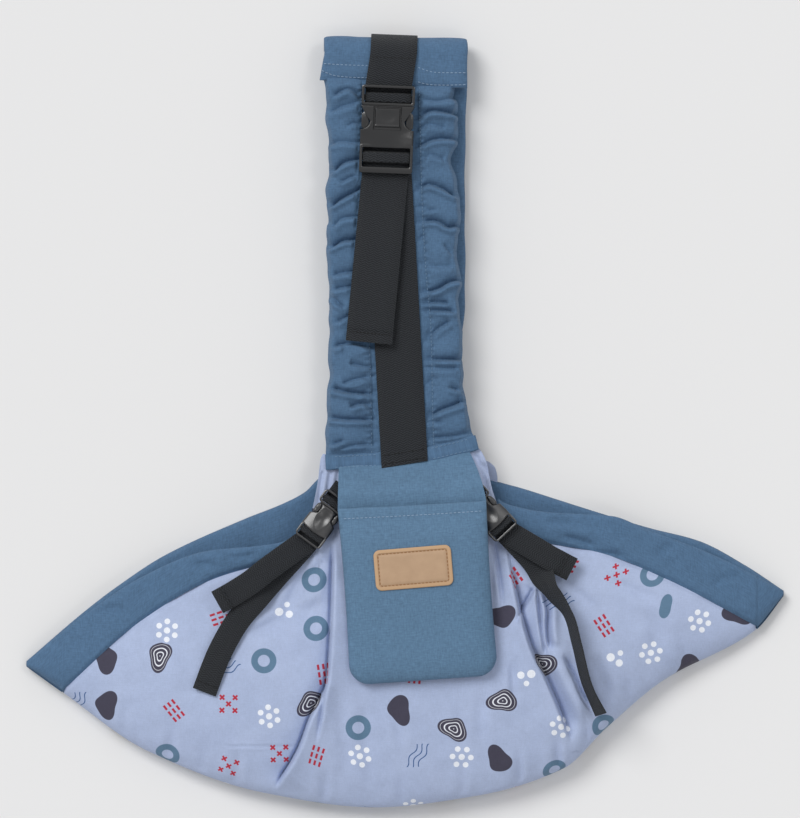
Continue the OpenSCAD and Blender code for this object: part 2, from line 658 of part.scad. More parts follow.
// The webbing crosses the fold a little askew, so it stands off by what that takes
fold_room = rest_gap + shoulder_web_w / 2 * sin(abs(big_turn));
module top_webbing() {
    t = shoulder_web_t;
    loop = concat(loop_start(big_short, sewn_l), over_bar(big_short));
    bend = bend_y - big_at.y;
    r = fold_z + fold_room + t / 2;
    path = concat(
        [for (p = loop) [base_l + p.x, p.y]],
        arc([bend, fold_z - big_z], r, 90, -30, 12)
    );
    color(web_black) at_buckle(big_at, big_turn) ribbon(path, shoulder_web_w, t);
}

lower_end = [-0.3, -34.3];
lower_start = from_buckle(big_at, big_turn, [0, -big_body - b_slot(big) * 0.3]);
module lower_webbing() {
    d = lower_end - lower_start;
    color(web_black) translate([lower_start.x, lower_start.y, under_web_z])
        rotate(atan2(d.y, d.x) + 90) translate([-shoulder_web_w / 2, -norm(d), 0])
            cube([shoulder_web_w, norm(d), shoulder_web_t]);
}

tail_turn = -5.5;
tail_z = -slot_gap - shoulder_web_t;
big_rim_y = -big_body - b_loop(big) + b_rim(big) / 2;
module shoulder_tail() {
    path = concat(tail_start(big), over_bar(big));
    color(web_black) at_buckle(big_at, big_turn) union() {
        rotate(180) ribbon([for (p = path) [big_body + p.x, p.y]], shoulder_web_w, shoulder_web_t);
        translate([0, big_rim_y, tail_z]) rotate(tail_turn - big_turn)
            translate([-shoulder_web_w / 2, tail_hem - shoulder_tail_len, 0])
                cube([shoulder_web_w, shoulder_tail_len - tail_hem + 1, shoulder_web_t]);
    }
}
module shoulder_tail_end() {
    color(web_black) at_buckle(big_at, big_turn)
        translate([0, big_rim_y, tail_z]) rotate(tail_turn - big_turn)
            translate([-shoulder_web_w / 2, -shoulder_tail_len, 0])
                cube([shoulder_web_w, tail_hem, 2 * shoulder_web_t]);
}

// Side straps
left_route = [[-106, -121], [-132, -162], [-163, -220]];
right_route = [[108, -119], [129, -152], [140, -181], [149, -214], [163, -239]];
left_tail_route = [[-112, -119], [-151, -144]];
right_tail_route = [[108, -102], [135, -116]];
// Samples a span of a route, and the sample at which a strap starts to stand on its edge
path_steps = 5;
twist_from = 12;
module side_webbing(place, turn, route, twist) {
    start = from_buckle(place, turn, [0, -small_body - 1]);
    over = from_buckle(place, turn, [0, -small_body - b_loop(small) - 3]);
    path = smooth_path(concat([start, over], route), path_steps);
    last = len(path) - 1;
    layer = side_z - slot_gap - 2 * side_web_t - rest_gap;
    lift = [for (i = [0:last]) let (s = min(1, max(0, i / path_steps - 1)))
        mix(layer, ground_z(path[i], side_web_w) + rest_gap * 2, s)];
    color(web_black) laid_strap(path, side_web_w, side_web_t, lift,
        [for (i = [0:last]) twist * pow(sin(180 * max(0, i - twist_from) / (last - twist_from)), 2)]);
}
// Highest point of the pouch under a strip of width w at p
function ground_z(p, w) = max([for (x = [-1, 0, 1]) for (y = [-1, 0, 1])
    let (q = p + [x, y] * w * 0.45)
    q.y < curve_y(q.x, front_edge_pts) ? front_out_z(q.x, q.y) : rail_z(q.x)]);
tail_lift_h = 6;
tail_weld = 0.05;
function tail_path(place, turn, route) =
    smooth_path(concat([from_buckle(place, turn, [0, -small_body - b_loop(small) + 1])], route), 4);
function tail_lift(path) = [for (i = [0:len(path) - 1])
    let (s = min(1, max(0, i - 1) / 3), ground = ground_z(path[i], side_web_w))
    mix(side_z - slot_gap - side_web_t - tail_weld, ground + tail_lift_h, s)];
module side_tail(place, turn, route) {
    path = tail_path(place, turn, route);
    lift = tail_lift(path);
    over = concat(tail_start(small), over_bar(small));
    last = len(path) - 2;
    color(web_black) union() {
        at_buckle(place, turn) rotate(180)
            ribbon([for (p = over) [small_body + p.x, p.y]], side_web_w, side_web_t);
        laid_strap([for (i = [0:last]) path[i]], side_web_w, side_web_t, lift, [for (p = path) 0]);
    }
}
module side_tail_end(place, turn, route) {
    path = tail_path(place, turn, route);
    lift = tail_lift(path);
    n = len(path) - 1;
    d = unit(path[n] - path[n - 1]);
    start = path[n - 1] + d * rest_gap;
    color(web_black) laid_strap([start, start + d * tail_hem], side_web_w, 2 * side_web_t,
        [lift[n - 1], lift[n - 1]], [0, 0]);
}
// An anchor's sewn end lies on the pouch this far past its buckle
anchor_l = 9;
anchor_rest = 1.2;
module side_anchor(place, turn) {
    t = side_web_t;
    loop = concat(loop_start(small, 6), over_bar(small));
    out_y = base_l + b_loop(small);
    end = from_buckle(place, turn, [0, out_y + anchor_l]);
    low = front_out_z(end.x, end.y) + anchor_rest + t - side_z;
    color(web_black) at_buckle(place, turn) ribbon(concat(
        [for (p = loop) [base_l + p.x, p.y]],
        [[out_y + anchor_l - 4, low], [out_y + anchor_l, low]]
    ), side_web_w, t);
}

module left_webbing() { side_webbing(left_at, left_turn, left_route, 0); }
module left_tail() { side_tail(left_at, left_turn, left_tail_route); }
module left_tail_end() { side_tail_end(left_at, left_turn, left_tail_route); }
module left_anchor_webbing() { side_anchor(left_at, left_turn); }
module left_buckle_male() { color(buckle_black) at_buckle(left_at, left_turn) buckle_male(small); }
module left_arm_upper() { color(buckle_black) at_buckle(left_at, left_turn) buckle_arm(small, -1); }
module left_arm_lower() { color(buckle_black) at_buckle(left_at, left_turn) buckle_arm(small, 1); }
module left_buckle_female() {
    color(buckle_black) at_buckle(left_at, left_turn) buckle_female(small, true);
}
module right_webbing() { side_webbing(right_at, right_turn, right_route, 55); }
module right_tail() { side_tail(right_at, right_turn, right_tail_route); }
module right_tail_end() { side_tail_end(right_at, right_turn, right_tail_route); }
module right_anchor_webbing() { side_anchor(right_at, right_turn); }
module right_buckle_male() { color(buckle_black) at_buckle(right_at, right_turn) buckle_male(small); }
module right_arm_upper() { color(buckle_black) at_buckle(right_at, right_turn) buckle_arm(small, 1); }
module right_arm_lower() { color(buckle_black) at_buckle(right_at, right_turn) buckle_arm(small, -1); }
module right_buckle_female() {
    color(buckle_black) at_buckle(right_at, right_turn) buckle_female(small, true);
}

shoulder_pad();
shoulder_foam();
gathered_sleeve();
neck_hem_band();
top_webbing();
lower_webbing();
shoulder_tail();
shoulder_tail_end();
shoulder_buckle_male();
shoulder_arm_left();
shoulder_arm_right();
shoulder_buckle_female();
shoulder_button();
front_panel();
back_panel();
front_left_rail();
front_right_rail();
back_left_rail();
back_right_rail();
pocket_back();
pocket_front();
label_patch();
left_webbing();
left_tail();
left_tail_end();
left_anchor_webbing();
left_buckle_male();
left_arm_upper();
left_arm_lower();
left_buckle_female();
right_webbing();
right_tail();
right_tail_end();
right_anchor_webbing();
right_buckle_male();
right_arm_upper();
right_arm_lower();
right_buckle_female();
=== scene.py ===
"""Looks of a side-sling baby carrier laid flat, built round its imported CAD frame.

Sizes are in millimetres, in the frame's axes, and become metres where a mesh is made.
"""
import math

import bpy
import numpy as np
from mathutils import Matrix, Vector


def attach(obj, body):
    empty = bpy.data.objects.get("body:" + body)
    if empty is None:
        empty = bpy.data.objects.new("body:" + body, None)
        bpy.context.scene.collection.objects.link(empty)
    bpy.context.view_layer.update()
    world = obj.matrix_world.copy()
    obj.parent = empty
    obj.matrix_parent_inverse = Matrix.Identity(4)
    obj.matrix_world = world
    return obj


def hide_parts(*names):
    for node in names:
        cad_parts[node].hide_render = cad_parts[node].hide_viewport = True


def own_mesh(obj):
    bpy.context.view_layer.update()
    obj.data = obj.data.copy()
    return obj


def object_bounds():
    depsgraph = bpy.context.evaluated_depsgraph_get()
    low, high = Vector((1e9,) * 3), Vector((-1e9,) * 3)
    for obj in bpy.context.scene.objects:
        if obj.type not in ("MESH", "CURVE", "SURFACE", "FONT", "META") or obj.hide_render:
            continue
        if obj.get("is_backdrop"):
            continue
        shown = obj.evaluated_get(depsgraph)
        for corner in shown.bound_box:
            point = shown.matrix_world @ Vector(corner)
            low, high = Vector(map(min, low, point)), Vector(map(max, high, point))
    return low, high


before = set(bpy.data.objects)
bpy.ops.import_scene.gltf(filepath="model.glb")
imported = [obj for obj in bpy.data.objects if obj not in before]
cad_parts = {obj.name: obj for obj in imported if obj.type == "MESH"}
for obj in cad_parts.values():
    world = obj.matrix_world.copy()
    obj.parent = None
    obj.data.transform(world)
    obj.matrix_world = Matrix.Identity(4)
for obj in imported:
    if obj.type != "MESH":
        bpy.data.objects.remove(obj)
CAD_LOW, CAD_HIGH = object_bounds()
rng = np.random.default_rng(7)


# Shader helpers


def plug(tree, value, socket):
    """Wires a socket to an input, or sets the input's own value."""
    if isinstance(value, bpy.types.NodeSocket):
        tree.links.new(value, socket)
    else:
        socket.default_value = value


def add_node(tree, kind, inputs=(), **settings):
    """Adds a node, sets its properties, and fills its inputs by name or number."""
    node = tree.nodes.new(kind)
    for key, value in settings.items():
        setattr(node, key, value)
    for key, value in dict(inputs).items():
        plug(tree, value, node.inputs[key])
    return node


def sums(tree):
    """Returns a function that adds a maths node and gives its output."""
    def op(name, *values):
        return add_node(tree, "ShaderNodeMath", enumerate(values), operation=name).outputs[0]
    return op


def new_group(name, inputs, outputs):
    """An empty node group with those sockets, its input's sockets by name and its output node."""
    tree = bpy.data.node_groups.new(name, "ShaderNodeTree")
    for way, rows in (("INPUT", inputs), ("OUTPUT", outputs)):
        for label, kind in rows:
            tree.interface.new_socket(name=label, in_out=way, socket_type="NodeSocket" + kind)
    start = tree.nodes.new("NodeGroupInput")
    return tree, {s.name: s for s in start.outputs}, tree.nodes.new("NodeGroupOutput")


def mix_colour(tree, share, a, b):
    return add_node(tree, "ShaderNodeMix", {0: share, 6: a, 7: b}, data_type="RGBA").outputs[2]


def noise(tree, vector, scale, detail=2.0):
    return add_node(tree, "ShaderNodeTexNoise", {"Vector": vector, "Scale": scale, "Detail": detail}).outputs[0]


def split(tree, vector):
    """The x, y and z of a vector."""
    return list(add_node(tree, "ShaderNodeSeparateXYZ", {0: vector}).outputs)


def vector_op(tree, name, a, b):
    return add_node(tree, "ShaderNodeVectorMath", {0: a, 1: b}, operation=name).outputs[0]


def object_place(tree):
    return add_node(tree, "ShaderNodeTexCoord").outputs["Object"]


def srgb(r, g, b):
    """A colour from 0 to 255 as linear RGBA."""
    return tuple(((c / 255 + 0.055) / 1.055) ** 2.4 for c in (r, g, b)) + (1.0,)


WEAVE_OUTPUTS = [("Color", "Color"), ("Height", "Float")]


def close_weave(tree, given, out, tone_and_shade, height):
    """Ends a group with its colour times a tone, which holds random dye tone and painted shade from the weave's height,
    and with its height.
    """
    plug(tree, vector_op(tree, "MULTIPLY", given["Color"], tone_and_shade), out.inputs["Color"])
    plug(tree, height, out.inputs["Height"])
    return tree


def weave_group():
    """Plain weave: two crossed sine waves of threads, clouds for uneven dye, slubs along both threads, and a faint
    painted shade that darkens the hollows between the threads.
    """
    inputs = [("Vector", "Vector"), ("Pitch", "Float"), ("Slub", "Float"), ("Color", "Color")]
    tree, given, out = new_group("plain_weave", inputs, WEAVE_OUTPUTS)
    op, flat = sums(tree), given["Vector"]
    x, y, _z = split(tree, flat)
    turn = op("DIVIDE", math.tau, given["Pitch"])
    warp, weft = op("SINE", op("MULTIPLY", x, turn)), op("SINE", op("MULTIPLY", y, turn))
    height = op("ADD", op("MULTIPLY", warp, weft), op("MULTIPLY", op("ADD", warp, weft), 0.3))
    tone_and_shade = op("ADD", op("MULTIPLY", noise(tree, flat, 0.09, 3), 0.16), op("MULTIPLY", noise(tree, flat, 1.6), 0.3))
    # Painted shade: the weave's height lightens the thread crowns and darkens the hollows between them
    tone_and_shade = op("ADD", tone_and_shade, op("MULTIPLY_ADD", height, 0.03, 0.77))
    for stretch in ((0.2, 0.85, 1), (0.85, 0.2, 1)):
        slub = noise(tree, vector_op(tree, "MULTIPLY", flat, stretch), 1.0)
        tone_and_shade = op("MULTIPLY_ADD", op("SUBTRACT", slub, 0.5), given["Slub"], tone_and_shade)
    return close_weave(tree, given, out, tone_and_shade, height)


def webbing_group():
    """Webbing: ribs across the strap whose rows are offset in a herringbone along its length, with their tops painted
    lighter and their furrows darker as painted highlight and shade.
    """
    tree, given, out = new_group("webbing_weave", [("Vector", "Vector"), ("Color", "Color")], WEAVE_OUTPUTS)
    op = sums(tree)
    across, along, _z = split(tree, given["Vector"])
    zig = op("PINGPONG", across, 3.2)
    rib = op("SINE", op("MULTIPLY", op("MULTIPLY_ADD", zig, 0.55, along), math.tau / 1.9))
    cord = op("SINE", op("MULTIPLY", across, math.tau / 1.1))
    height = op("ADD", rib, op("MULTIPLY", cord, 0.6))
    fine = noise(tree, given["Vector"], 1.1, 3)
    # Painted highlight and shade: the ribs' height lightens their tops and darkens the furrows, with random tone added
    tone_and_shade = op("ADD", op("MULTIPLY", height, 0.32), op("MULTIPLY_ADD", fine, 0.7, 0.65))
    return close_weave(tree, given, out, tone_and_shade, height)


# Millimetres from one motif to the next, and the place in metres above which the ground is plain
MOTIF_CELL, PLAIN_ABOVE = 41, -0.052


def motif_group():
    """A printed ground with one small motif in each cell of a loose grid.

    Every cell turns its motif by a random angle and picks one of nine: pebbles, ringed pebbles, rings,
    dot flowers, rows of dashes, wavy strokes, small crosses, small pebbles and single dots. The neck stays plain.
    """
    tree, given, out = new_group("motif_print", [("Vector", "Vector"), ("Place", "Vector")], [("Color", "Color")])
    op, flat = sums(tree), given["Vector"]
    cells = add_node(
        tree, "ShaderNodeTexVoronoi", {"Vector": flat, "Scale": 1 / MOTIF_CELL, "Randomness": 0.62},
        voronoi_dimensions="2D",
    )
    pick, heading, lump = add_node(tree, "ShaderNodeSeparateColor", {0: cells.outputs["Color"]}).outputs
    local = vector_op(tree, "SUBTRACT", flat, cells.outputs["Position"])
    turned = add_node(
        tree, "ShaderNodeVectorRotate", {"Vector": local, "Angle": op("MULTIPLY", heading, math.tau)},
        rotation_type="Z_AXIS",
    )
    x, y, _z = split(tree, turned.outputs[0])

    def length(a, b):
        return op("SQRT", op("ADD", op("MULTIPLY", a, a), op("MULTIPLY", b, b)))

    def inside(distance, edge, soft=0.25):
        """1 where a distance in millimetres is under an edge, with a soft border."""
        limits = {0: distance, 1: edge - soft, 2: edge + soft, 3: 1.0, 4: 0.0}
        return add_node(tree, "ShaderNodeMapRange", limits, interpolation_type="SMOOTHSTEP").outputs[0]

    def near(value, edge):
        return inside(op("ABSOLUTE", value), edge)

    def both(mask, *others):
        for other in others:
            mask = op("MULTIPLY", mask, other)
        return mask

    def pebble(a, b, lumps, depth):
        """Distance-like value of a lumpy ellipse: a at its border."""
        wave = op("SINE", op("MULTIPLY_ADD", angle, lumps, op("MULTIPLY", lump, 6.0)))
        return op("MULTIPLY", length(x, op("MULTIPLY", y, a / b)), op("MULTIPLY_ADD", wave, depth, 1.0))

    def rows(value, pitch):
        """Distance from the nearest of a set of lines that far apart."""
        return op("ABSOLUTE", op("SUBTRACT", op("FLOORED_MODULO", op("ADD", value, pitch / 2), pitch), pitch / 2))

    def ball(cx, cy, r):
        return inside(length(op("SUBTRACT", x, cx), op("SUBTRACT", y, cy)), r)

    radius, angle = length(x, y), op("ARCTAN2", y, x)
    big, small = pebble(12.5, 8.5, 3, 0.13), pebble(8.0, 5.5, 2, 0.2)
    filled, ring_lines = inside(big, 12.5), both(inside(rows(big, 3.6), 0.5, 0.2), inside(big, 10.6))
    petal = op("SUBTRACT", op("FLOORED_MODULO", angle, math.tau / 6), math.tau / 12)
    reach = op("MULTIPLY", op("MULTIPLY", radius, 15.0), op("COSINE", petal))
    petal_d = op("SQRT", op("MAXIMUM", op("ADD", op("MULTIPLY", radius, radius), op("SUBTRACT", 56.0, reach)), 0.0))
    flower = op("MAXIMUM", inside(petal_d, 2.3), inside(radius, 2.6))
    dashes = both(inside(rows(x, 6.2), 2.2), inside(rows(y, 4.2), 0.95), near(x, 8.9), near(y, 5.9))
    wavy = op("ADD", y, op("MULTIPLY", op("SINE", op("MULTIPLY", x, 0.42)), 1.3))
    strokes = both(
        inside(rows(wavy, 4.4), 0.42, 0.15), near(wavy, 7.5), near(op("MULTIPLY_ADD", wavy, 0.5, x), 10.5)
    )
    row_x, row_y = rows(x, 7.5), rows(y, 7.5)
    crosses = both(
        inside(op("MINIMUM", row_x, row_y), 0.8), inside(op("MAXIMUM", row_x, row_y), 2.6),
        inside(op("ADD", op("ABSOLUTE", x), op("ABSOLUTE", y)), 11.2),
    )
    trio = op("MAXIMUM", op("MAXIMUM", ball(-4.5, -2.0, 3.0), ball(3.6, -3.4, 2.3)), ball(0.6, 4.8, 3.4))
    charcoal, teal, white = srgb(66, 64, 80), srgb(92, 122, 148), srgb(232, 236, 244)
    red, line_blue = srgb(178, 44, 62), srgb(44, 84, 136)
    # The share of cells up to which a motif is picked, and its masks with their inks
    motifs = [
        (0.15, [(filled, charcoal)]), (0.29, [(filled, charcoal), (ring_lines, white)]),
        (0.41, [(near(op("SUBTRACT", radius, 7.6), 2.7), teal)]), (0.52, [(flower, white)]), (0.65, [(dashes, red)]),
        (0.75, [(strokes, line_blue)]), (0.84, [(crosses, red)]), (0.93, [(inside(small, 8.0), teal)]),
        (1.01, [(trio, white)]),
    ]
    ground = mix_colour(tree, noise(tree, flat, 0.02), srgb(162, 176, 207), srgb(174, 187, 216))
    below_neck = op("LESS_THAN", split(tree, given["Place"])[1], PLAIN_ABOVE)
    low = 0.0
    for high, inks in motifs:
        chosen = both(below_neck, op("GREATER_THAN", pick, low), op("LESS_THAN", pick, high))
        for mask, ink in inks:
            ground = mix_colour(tree, both(mask, chosen), ground, ink)
        low = high
    plug(tree, ground, out.inputs["Color"])
    return tree


def material(name, roughness, **constants):
    """A principled material with those constants, its tree and its shader."""
    mat = bpy.data.materials.new(name)
    mat.use_nodes = True
    shader = mat.node_tree.nodes["Principled BSDF"]
    for key, value in {"Roughness": roughness, **constants}.items():
        shader.inputs[key.replace("_", " ")].default_value = value
    return mat, mat.node_tree, shader


def emboss(tree, shader, height, depth):
    """Bends the shader's normal by a height."""
    bump = add_node(tree, "ShaderNodeBump", {"Height": height, "Distance": depth})
    plug(tree, bump.outputs[0], shader.inputs["Normal"])


def cloth_material(name, group, colour, depth, roughness, sheen, **threads):
    """Woven cloth: a colour, or the print, toned by a weave in the mesh's own flat millimetres."""
    mat, tree, shader = material(name, roughness, Sheen_Weight=sheen, Specular_IOR_Level=0.25)
    flat = add_node(tree, "ShaderNodeUVMap", uv_map="flat").outputs[0]
    if colour is None:
        places = {"Vector": flat, "Place": object_place(tree)}
        colour = add_node(tree, "ShaderNodeGroup", places, node_tree=GROUPS["print"]).outputs[0]
    weave = add_node(tree, "ShaderNodeGroup", {"Vector": flat, "Color": colour, **threads}, node_tree=GROUPS[group])
    plug(tree, weave.outputs["Color"], shader.inputs["Base Color"])
    emboss(tree, shader, weave.outputs["Height"], depth)
    return mat


def plastic_material(name, colour, roughness, shine):
    """Moulded plastic with faint mould texture."""
    mat, tree, shader = material(name, roughness, Base_Color=colour, Specular_IOR_Level=shine)
    emboss(tree, shader, noise(tree, object_place(tree), 1800.0), 0.00003)
    return mat


def leather_material():
    """Tan leather: fine pores, and a paler border from the mesh's edge attribute."""
    mat, tree, shader = material("leather_tan", 0.55, Specular_IOR_Level=0.35)
    at = object_place(tree)
    pores = add_node(tree, "ShaderNodeTexVoronoi", {"Vector": at, "Scale": 1500.0})
    rim = add_node(tree, "ShaderNodeAttribute", attribute_name="rim").outputs["Fac"]
    tan = mix_colour(tree, noise(tree, at, 120.0, 3), srgb(170, 140, 112), srgb(186, 156, 126))
    plug(tree, mix_colour(tree, rim, tan, srgb(188, 154, 119)), shader.inputs["Base Color"])
    emboss(tree, shader, pores.outputs["Distance"], 0.00006)
    return mat


def plain_material(name, colour, roughness):
    return material(name, roughness, Base_Color=colour)[0]


GROUPS = {"weave": weave_group(), "webbing": webbing_group(), "print": motif_group()}
BLUE = cloth_material("blue_canvas", "weave", srgb(80, 110, 141), 0.00008, 0.85, 0.06, Pitch=0.9, Slub=0.5)
# The pocket's canvas: the same blue canvas painted lighter, as painted light where the pocket catches more light than
# the strap
POCKET_LIT_BLUE = cloth_material("pocket_canvas_painted_light", "weave", srgb(93, 125, 154), 0.0001, 0.85, 0.06, Pitch=0.9, Slub=0.48)
PRINT = cloth_material("print_cotton", "weave", None, 0.00004, 0.75, 0.1, Pitch=0.8, Slub=0.16)
WEB = cloth_material("black_webbing", "webbing", srgb(44, 47, 51), 0.0003, 0.7, 0.06)
MATT = plastic_material("buckle_satin", srgb(26, 27, 29), 0.27, 0.75)
GLOSS = plastic_material("buckle_gloss", srgb(27, 28, 31), 0.33, 1.0)
LEATHER = leather_material()
THREADS = {
    "thread": plain_material("thread_blue", srgb(150, 172, 196), 0.7),
    "thread_dim": plain_material("thread_slate", srgb(112, 140, 168), 0.7),
    "thread_black": plain_material("thread_black", srgb(12, 12, 13), 0.8),
    "thread_tan": plain_material("thread_tan", srgb(150, 106, 62), 0.6),
}


# Mesh helpers


def link(name, data):
    """A new object in the scene."""
    obj = bpy.data.objects.new(name, data)
    bpy.context.scene.collection.objects.link(obj)
    return obj


def add_mesh(name, points, faces, mat, flat=None, crease=None, rim=None):
    """A mesh object at the origin from points in millimetres and arrays of equal-sided faces."""
    faces = [np.asarray(f) for f in faces if len(f)]
    loops = np.concatenate([f.ravel() for f in faces]).astype(np.int32)
    sizes = np.concatenate([np.full(len(f), f.shape[1]) for f in faces])
    starts = np.concatenate([[0], np.cumsum(sizes)[:-1]]).astype(np.int32)
    mesh = bpy.data.meshes.new(name)
    mesh.vertices.add(len(points))
    mesh.vertices.foreach_set("co", (np.asarray(points, float) * 0.001).astype(np.float32).ravel())
    mesh.loops.add(len(loops))
    mesh.loops.foreach_set("vertex_index", loops)
    mesh.polygons.add(len(starts))
    mesh.polygons.foreach_set("loop_start", starts)
    mesh.update(calc_edges=True)
    mesh.validate()
    if flat is not None:
        layer = mesh.uv_layers.new(name="flat")
        layer.data.foreach_set("uv", np.asarray(flat, np.float32)[loops].ravel())
    if rim is not None:
        mesh.attributes.new("rim", "FLOAT", "POINT").data.foreach_set("value", np.asarray(rim, np.float32))
    mesh.shade_smooth()
    if crease:
        mesh.set_sharp_from_angle(angle=math.radians(crease))
    mesh.materials.append(mat)
    return link(name, mesh)


def quads(nu, nv, start=0, flip=False):
    """Faces of a grid of nu by nv points, numbered row by row."""
    i, j = np.meshgrid(np.arange(nu - 1), np.arange(nv - 1), indexing="ij")
    a = (start + i * nv + j).ravel()
    face = np.stack([a, a + nv, a + nv + 1, a + 1], 1)
    return face[:, ::-1] if flip else face


def shell(top, bottom):
    """Points and faces of a closed solid between two grids of the same shape."""
    nu, nv = top.shape[:2]
    n = nu * nv
    number = np.arange(n).reshape(nu, nv)
    border = np.concatenate([number[:, 0], number[-1, 1:], number[-2::-1, -1], number[0, -2:0:-1]])
    after = np.roll(border, -1)
    wall = np.stack([border, border + n, after + n, after], 1)
    points = np.concatenate([top.reshape(-1, 3), bottom.reshape(-1, 3)])
    return points, [np.concatenate([quads(nu, nv), quads(nu, nv, n, True), wall])]


def tube(rings):
    """Points and faces of a closed solid through rings of points."""
    k, m = rings.shape[:2]
    i, j = np.meshgrid(np.arange(k - 1), np.arange(m), indexing="ij")
    a, b = (i * m + j).ravel(), (i * m + (j + 1) % m).ravel()
    sides = np.stack([a, b, b + m, a + m], 1)
    caps = np.stack([np.arange(m)[::-1], (k - 1) * m + np.arange(m)])
    return rings.reshape(-1, 3), [sides, caps]


def join(parts):
    """Several (points, faces) as one."""
    points, faces, start = [], [], 0
    for pts, groups in parts:
        points.append(pts)
        faces += [np.asarray(g) + start for g in groups]
        start += len(pts)
    return np.concatenate(points), faces


def smooth_step(a, b, x):
    t = np.clip((x - a) / (b - a), 0, 1)
    return t * t * (3 - 2 * t)


def signed(v, power):
    """A power of a value's size, with the value's sign."""
    return np.sign(v) * np.abs(v) ** power


def crowded(u, power):
    """Shares from -1 to 1 moved closer together towards both ends."""
    return np.sign(u) * (1 - (1 - np.abs(u)) ** power)


def bell(x, width=1.0):
    return np.exp(-(x / width) ** 2)


def unit(rows):
    """Rows of an array brought to length 1."""
    return rows / np.linalg.norm(rows, axis=-1, keepdims=True)


def run_length(points):
    """Length run along a line of points, from 0 at the first."""
    return np.concatenate([[0], np.cumsum(np.linalg.norm(np.diff(points, axis=0), axis=1))])


def raised(plan, z):
    """Plan points at one height, or each at its own."""
    return np.column_stack([plan, np.broadcast_to(z, len(plan))])


def xyz(x, y, z):
    """Points from three coordinates, any of them one number for all."""
    return np.stack(np.broadcast_arrays(x, y, z), -1)


def left_of(ahead):
    """Plan directions turned by a quarter to their left."""
    return np.stack([-ahead[..., 1], ahead[..., 0]], -1)


def waves(x, y, count, low, high, seed):
    """Smooth noise about 0 from -1 to 1: a mean of sine waves of random heading and length."""
    dice = np.random.default_rng(seed)
    total = 0
    for _ in range(count):
        turn, length, phase = dice.uniform(0, math.tau), dice.uniform(low, high), dice.uniform(0, math.tau)
        total = total + np.sin((x * math.cos(turn) + y * math.sin(turn)) * math.tau / length + phase)
    return total / math.sqrt(count)


def along_path(x, y, path):
    """Signed distance from a path of points, left of it positive, and the share of its length there."""
    p = np.asarray(path, float)
    best, share, side = np.full(x.shape, 1e9), np.zeros(x.shape), np.ones(x.shape)
    lengths = np.hypot(*np.diff(p, axis=0).T)
    run = np.concatenate([[0], np.cumsum(lengths)])
    for i, length in enumerate(lengths):
        dx, dy = (p[i + 1] - p[i]) / length
        t = np.clip((x - p[i, 0]) * dx + (y - p[i, 1]) * dy, 0, length)
        ox, oy = x - p[i, 0] - t * dx, y - p[i, 1] - t * dy
        d = np.hypot(ox, oy)
        near = d < best
        best = np.where(near, d, best)
        share = np.where(near, (run[i] + t) / run[-1], share)
        side = np.where(near, np.sign(dx * oy - dy * ox), side)
    return best * side, share


def fold_line(x, y, path, fade):
    """Signed distance from a smooth path, and a share that falls to 0 at its two ends."""
    d, share = along_path(x, y, bend(path))
    return d, smooth_step(0, max(fade[0], 1e-3), share) * smooth_step(0, max(fade[1], 1e-3), 1 - share)


def crease(x, y, path, depth, width, fade, lean=0.0):
    """Height of a fold along a path: a narrow valley with a soft lip on each side, fading at its ends.

    The valley is a bell curve, wider on the side it leans to; the lips are wider bell curves beside it.
    """
    d, ends = fold_line(x, y, path, fade)
    wide = width * np.where(d > 0, 1 + lean, 1 - lean)
    return (-depth * bell(d, wide) + 0.45 * depth * bell(np.abs(d) - 2.3 * wide, 1.4 * wide)) * ends


def gather(x, y, path, depth, width, fade):
    """Height of a gathered fold: the cloth sinks to a crease on the left of its path and comes up at once on its right.

    Both sides are exponentials that meet in a cusp, with a bell-shaped lip beyond the steep side.
    """
    d, ends = fold_line(x, y, path, (fade, fade))
    slow, steep = np.exp(-np.maximum(d, 0) / (1.5 * width)), np.exp(-(np.maximum(-d, 0) / (0.5 * width)) ** 1.5)
    return ends * depth * (0.36 * bell(d + 1.7 * width, 1.1 * width) - np.where(d > 0, slow, steep))


def pleat(x, y, path, height, width, fade):
    """Height of an overlapped fold: raised on the left of the path, sunk on its right, steep between the two.

    The step is a hyperbolic tangent of the distance that dies away on both sides as a stretched bell curve, with a
    narrow groove at its foot.
    """
    d, ends = fold_line(x, y, path, fade)
    step = np.tanh(d / 1.1) * np.exp(-(np.abs(d) / width) ** 1.4)
    return ends * (height * step - 0.7 * abs(height) * bell(d + np.sign(height) * 1.5, 1.2))


def bend(path, steps=6):
    """A smooth path through points, by cubic pieces whose tangents join the points beside each one."""
    p = np.asarray(path, float)
    if len(p) < 3:
        return p
    q = np.concatenate([p[:1], p, p[-1:]])
    t = np.linspace(0, 1, steps, endpoint=False)[:, None]
    out = [
        b + (c - a) / 2 * t + (a - 2.5 * b + 2 * c - d / 2) * t**2 + (-a / 2 + 1.5 * b - 1.5 * c + d / 2) * t**3
        for a, b, c, d in zip(q, q[1:], q[2:], q[3:])
    ]
    return np.concatenate(out + [p[-1:]])


def finish_piece(obj, body, slot, *nodes):
    """Rides a finished piece on a body, in place of CAD nodes; the slot given is not used."""
    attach(obj, body)
    if nodes:
        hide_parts(*nodes)
    return obj


STITCHES = {}
TACK, SMALL_TACK = {"length": 2.0, "gap": 0.8, "wide": 0.9}, {"length": 1.6, "gap": 0.6}


